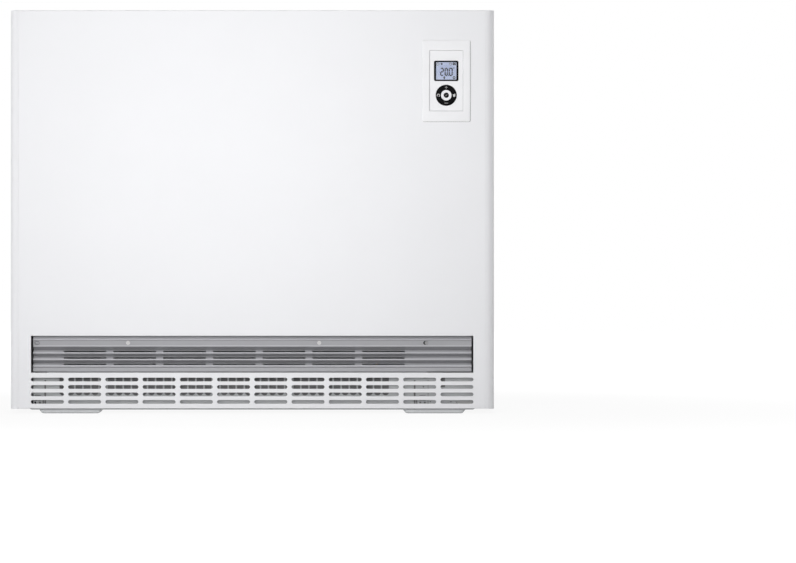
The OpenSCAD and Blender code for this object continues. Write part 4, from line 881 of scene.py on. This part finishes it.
def make_frame_shadow_strip():
    """A thin grey strip between control frame and front panel, painted shadow of the frame that shows at
    the right and below.
    """
    corner, rim = 3.0, 1.5
    wider = 0.1
    proud, sunk = 0.3 * MM, 0.1 * MM
    lo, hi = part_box("control_frame")
    w, h = (hi.x - lo.x) / MM, (hi.z - lo.z) / MM
    face = front("front_panel")
    # Painted shadow: the strip is shifted right and down so that it shows only there
    outer = moved(rounded_outline(w + wider, h + wider, corner), 0.4, -0.3)
    inner = rounded_outline(w - 2 * rim, h - 2 * rim, corner - rim)
    make_plate("control_frame_shadow", [[outer, inner]], middle("control_frame"), face - proud, face + sunk,
               "control_frame", "grey_plastic")


def make_switch_fittings():
    """A cover, a clamp plate, a screw and a folded edge on the switch panel, seen through the slots."""
    face = front("switch_panel")
    cover = rounded_outline(12, 20, 1.0)
    clamp = [(-13, 3.4), (-9, -1.6), (-9, -6), (13, -6), (13, 3.4)]
    screw = disc(0, 0, 1.0)
    edge = rounded_outline(6, 50, 0.5)
    # Name, outline, place, front and back from the panel's face, and finish of each
    fittings = [
        ("cover", cover, (305.2, 52.6), -0.8, 0.2, "grey_plastic"),
        ("clamp", clamp, (341.5, 16.2), -0.8, 0.2, "light_plastic"),
        ("screw", screw, (320.6, 18.4), -0.6, 0.2, "grey_plastic"),
        ("edge", edge, (356.5, 34.0), 0.0, 1.2, "galvanised_steel"),
    ]
    for name, outline, place, y0, y1, slot in fittings:
        make_plate(f"switch_panel_{name}", [[moved(outline, *place)]], Vector((0, 0, 0)), face + y0 * MM,
                   face + y1 * MM, "switch_panel", slot, 0.2)


# ---------------------------------------------------------------- camera, floor and light


def make_camera():
    """A level camera that sees the front panel as the photograph does."""
    data = bpy.data.cameras.new("camera")
    data.sensor_width = SENSOR_WIDTH
    data.lens = data.sensor_width * VIEW_DISTANCE / (PHOTO_W * PIXEL)
    camera = bpy.data.objects.new("camera", data)
    camera.location.x = (PHOTO_W / 2 - HEATER_X_PX) * PIXEL
    camera.location.y = front("front_panel") - VIEW_DISTANCE
    camera.location.z = (FLOOR_Y_PX - PHOTO_H / 2) * PIXEL
    camera.rotation_euler.x = math.pi / 2
    bpy.context.collection.objects.link(camera)
    bpy.context.scene.camera = camera


def seen_directly(tree, low, high):
    """high for camera, glossy and transmission rays, and low for the rays that light the object."""
    path = tree.nodes.new("ShaderNodeLightPath")
    seen = path.outputs["Is Camera Ray"]
    for ray in ("Is Glossy Ray", "Is Transmission Ray"):
        either = tree.nodes.new("ShaderNodeMath")
        either.operation = "MAXIMUM"
        tree.links.new(seen, either.inputs[0])
        tree.links.new(path.outputs[ray], either.inputs[1])
        seen = either.outputs[0]
    level = tree.nodes.new("ShaderNodeMapRange")
    level.inputs["To Min"].default_value = low
    level.inputs["To Max"].default_value = high
    tree.links.new(seen, level.inputs["Value"])
    return level.outputs["Result"]


def make_world():
    """White to the camera, in reflections and through glass, and a low even light on the object."""
    ambient = 0.05
    world = bpy.data.worlds.new("studio")
    bpy.context.scene.world = world
    world.use_nodes = True
    background = world.node_tree.nodes["Background"]
    background.inputs["Color"].default_value = (1, 1, 1, 1)
    level = seen_directly(world.node_tree, ambient, 1.0)
    world.node_tree.links.new(level, background.inputs["Strength"])


def away_from_heater(tree, near, far, near_share, far_share):
    """A share that changes with the distance from the heater's middle on the floor."""
    place = tree.nodes.new("ShaderNodeNewGeometry").outputs["Position"]
    distance = tree.nodes.new("ShaderNodeVectorMath")
    distance.operation = "LENGTH"
    tree.links.new(place, distance.inputs[0])
    share = tree.nodes.new("ShaderNodeMapRange")
    share.interpolation_type = "SMOOTHSTEP"
    values = {"From Min": near, "From Max": far, "To Min": near_share, "To Max": far_share}
    for socket, value in values.items():
        share.inputs[socket].default_value = value
    tree.links.new(distance.outputs["Value"], share.inputs["Value"])
    return share.outputs["Result"]


def make_floor():
    """A pale floor that the camera sees as white, with the object's shadow kept faint."""
    half = 8.0
    grey = (0.6, 0.6, 0.6, 1)
    glow_strength = 1.08
    shadow_end, white_start = 0.5, 1.8
    glow_by_heater, glow_far_off = 0.84, 1.0
    data = bpy.data.meshes.new("floor")
    corners = [(-half, -half, 0), (half, -half, 0), (half, half, 0), (-half, half, 0)]
    data.from_pydata(corners, [], [(0, 1, 2, 3)])
    floor = bpy.data.objects.new("floor", data)
    bpy.context.collection.objects.link(floor)
    material = bpy.data.materials.new("floor")
    material.use_nodes = True
    nodes, links = material.node_tree.nodes, material.node_tree.links
    diffuse = nodes["Principled BSDF"]
    diffuse.inputs["Base Color"].default_value = grey
    diffuse.inputs["Roughness"].default_value = 1.0
    diffuse.inputs["Specular IOR Level"].default_value = 0.0
    glow = nodes.new("ShaderNodeEmission")
    glow.inputs["Strength"].default_value = glow_strength
    mix = nodes.new("ShaderNodeMixShader")
    share = nodes.new("ShaderNodeMath")
    share.operation = "MULTIPLY"
    seen = seen_directly(material.node_tree, 0.0, 1.0)
    distant = away_from_heater(material.node_tree, shadow_end, white_start, glow_by_heater, glow_far_off)
    links.new(seen, share.inputs[0])
    links.new(distant, share.inputs[1])
    links.new(share.outputs[0], mix.inputs[0])
    links.new(diffuse.outputs[0], mix.inputs[1])
    links.new(glow.outputs[0], mix.inputs[2])
    links.new(mix.outputs[0], nodes["Material Output"].inputs["Surface"])
    data.materials.append(material)


# The lamps' common aim, and each one's name, place, size and power
LAMP_AIM = Vector((0, 0, 0.33))
LAMPS = [
    ("near", (-0.1, -1.3, 0.5), 0.8, 6.5),
    ("front", (0.3, -3.4, 1.2), 2.0, 13.6),
    ("left", (-2.6, -1.4, 0.8), 1.6, 20.6),
    ("right", (2.6, -1.4, 0.8), 1.6, 6.5),
    ("over", (0.0, -2.3, 2.3), 1.2, 7.6),
    ("above", (0.0, 0.9, 2.8), 2.0, 20.0),
    ("back", (0.6, 3.0, 1.2), 2.0, 20.0),
    ("side_left", (-3.0, 0.9, 1.0), 1.6, 9.0),
    ("side_right", (3.0, 0.9, 1.0), 1.6, 14.0),
]


def make_lamps():
    """Large soft lamps, all aimed at the middle of the heater."""
    for name, place, size, power in LAMPS:
        data = bpy.data.lights.new(name, "AREA")
        data.size = size
        data.energy = power
        lamp = bpy.data.objects.new(name, data)
        lamp.location = place
        lamp.rotation_euler = (LAMP_AIM - lamp.location).to_track_quat("-Z", "Y").to_euler()
        lamp.visible_camera = False
        bpy.context.collection.objects.link(lamp)


def set_view():
    bpy.context.scene.view_settings.view_transform = "Standard"


make_camera()
coat_nodes()
soften_nodes()
make_display()
make_ring_signs()
make_centre_sign()
make_knock_out_shade()
make_reset_collar()
make_frame_shadow_strip()
make_switch_fittings()
make_seals()
make_world()
make_floor()
make_lamps()
set_view()
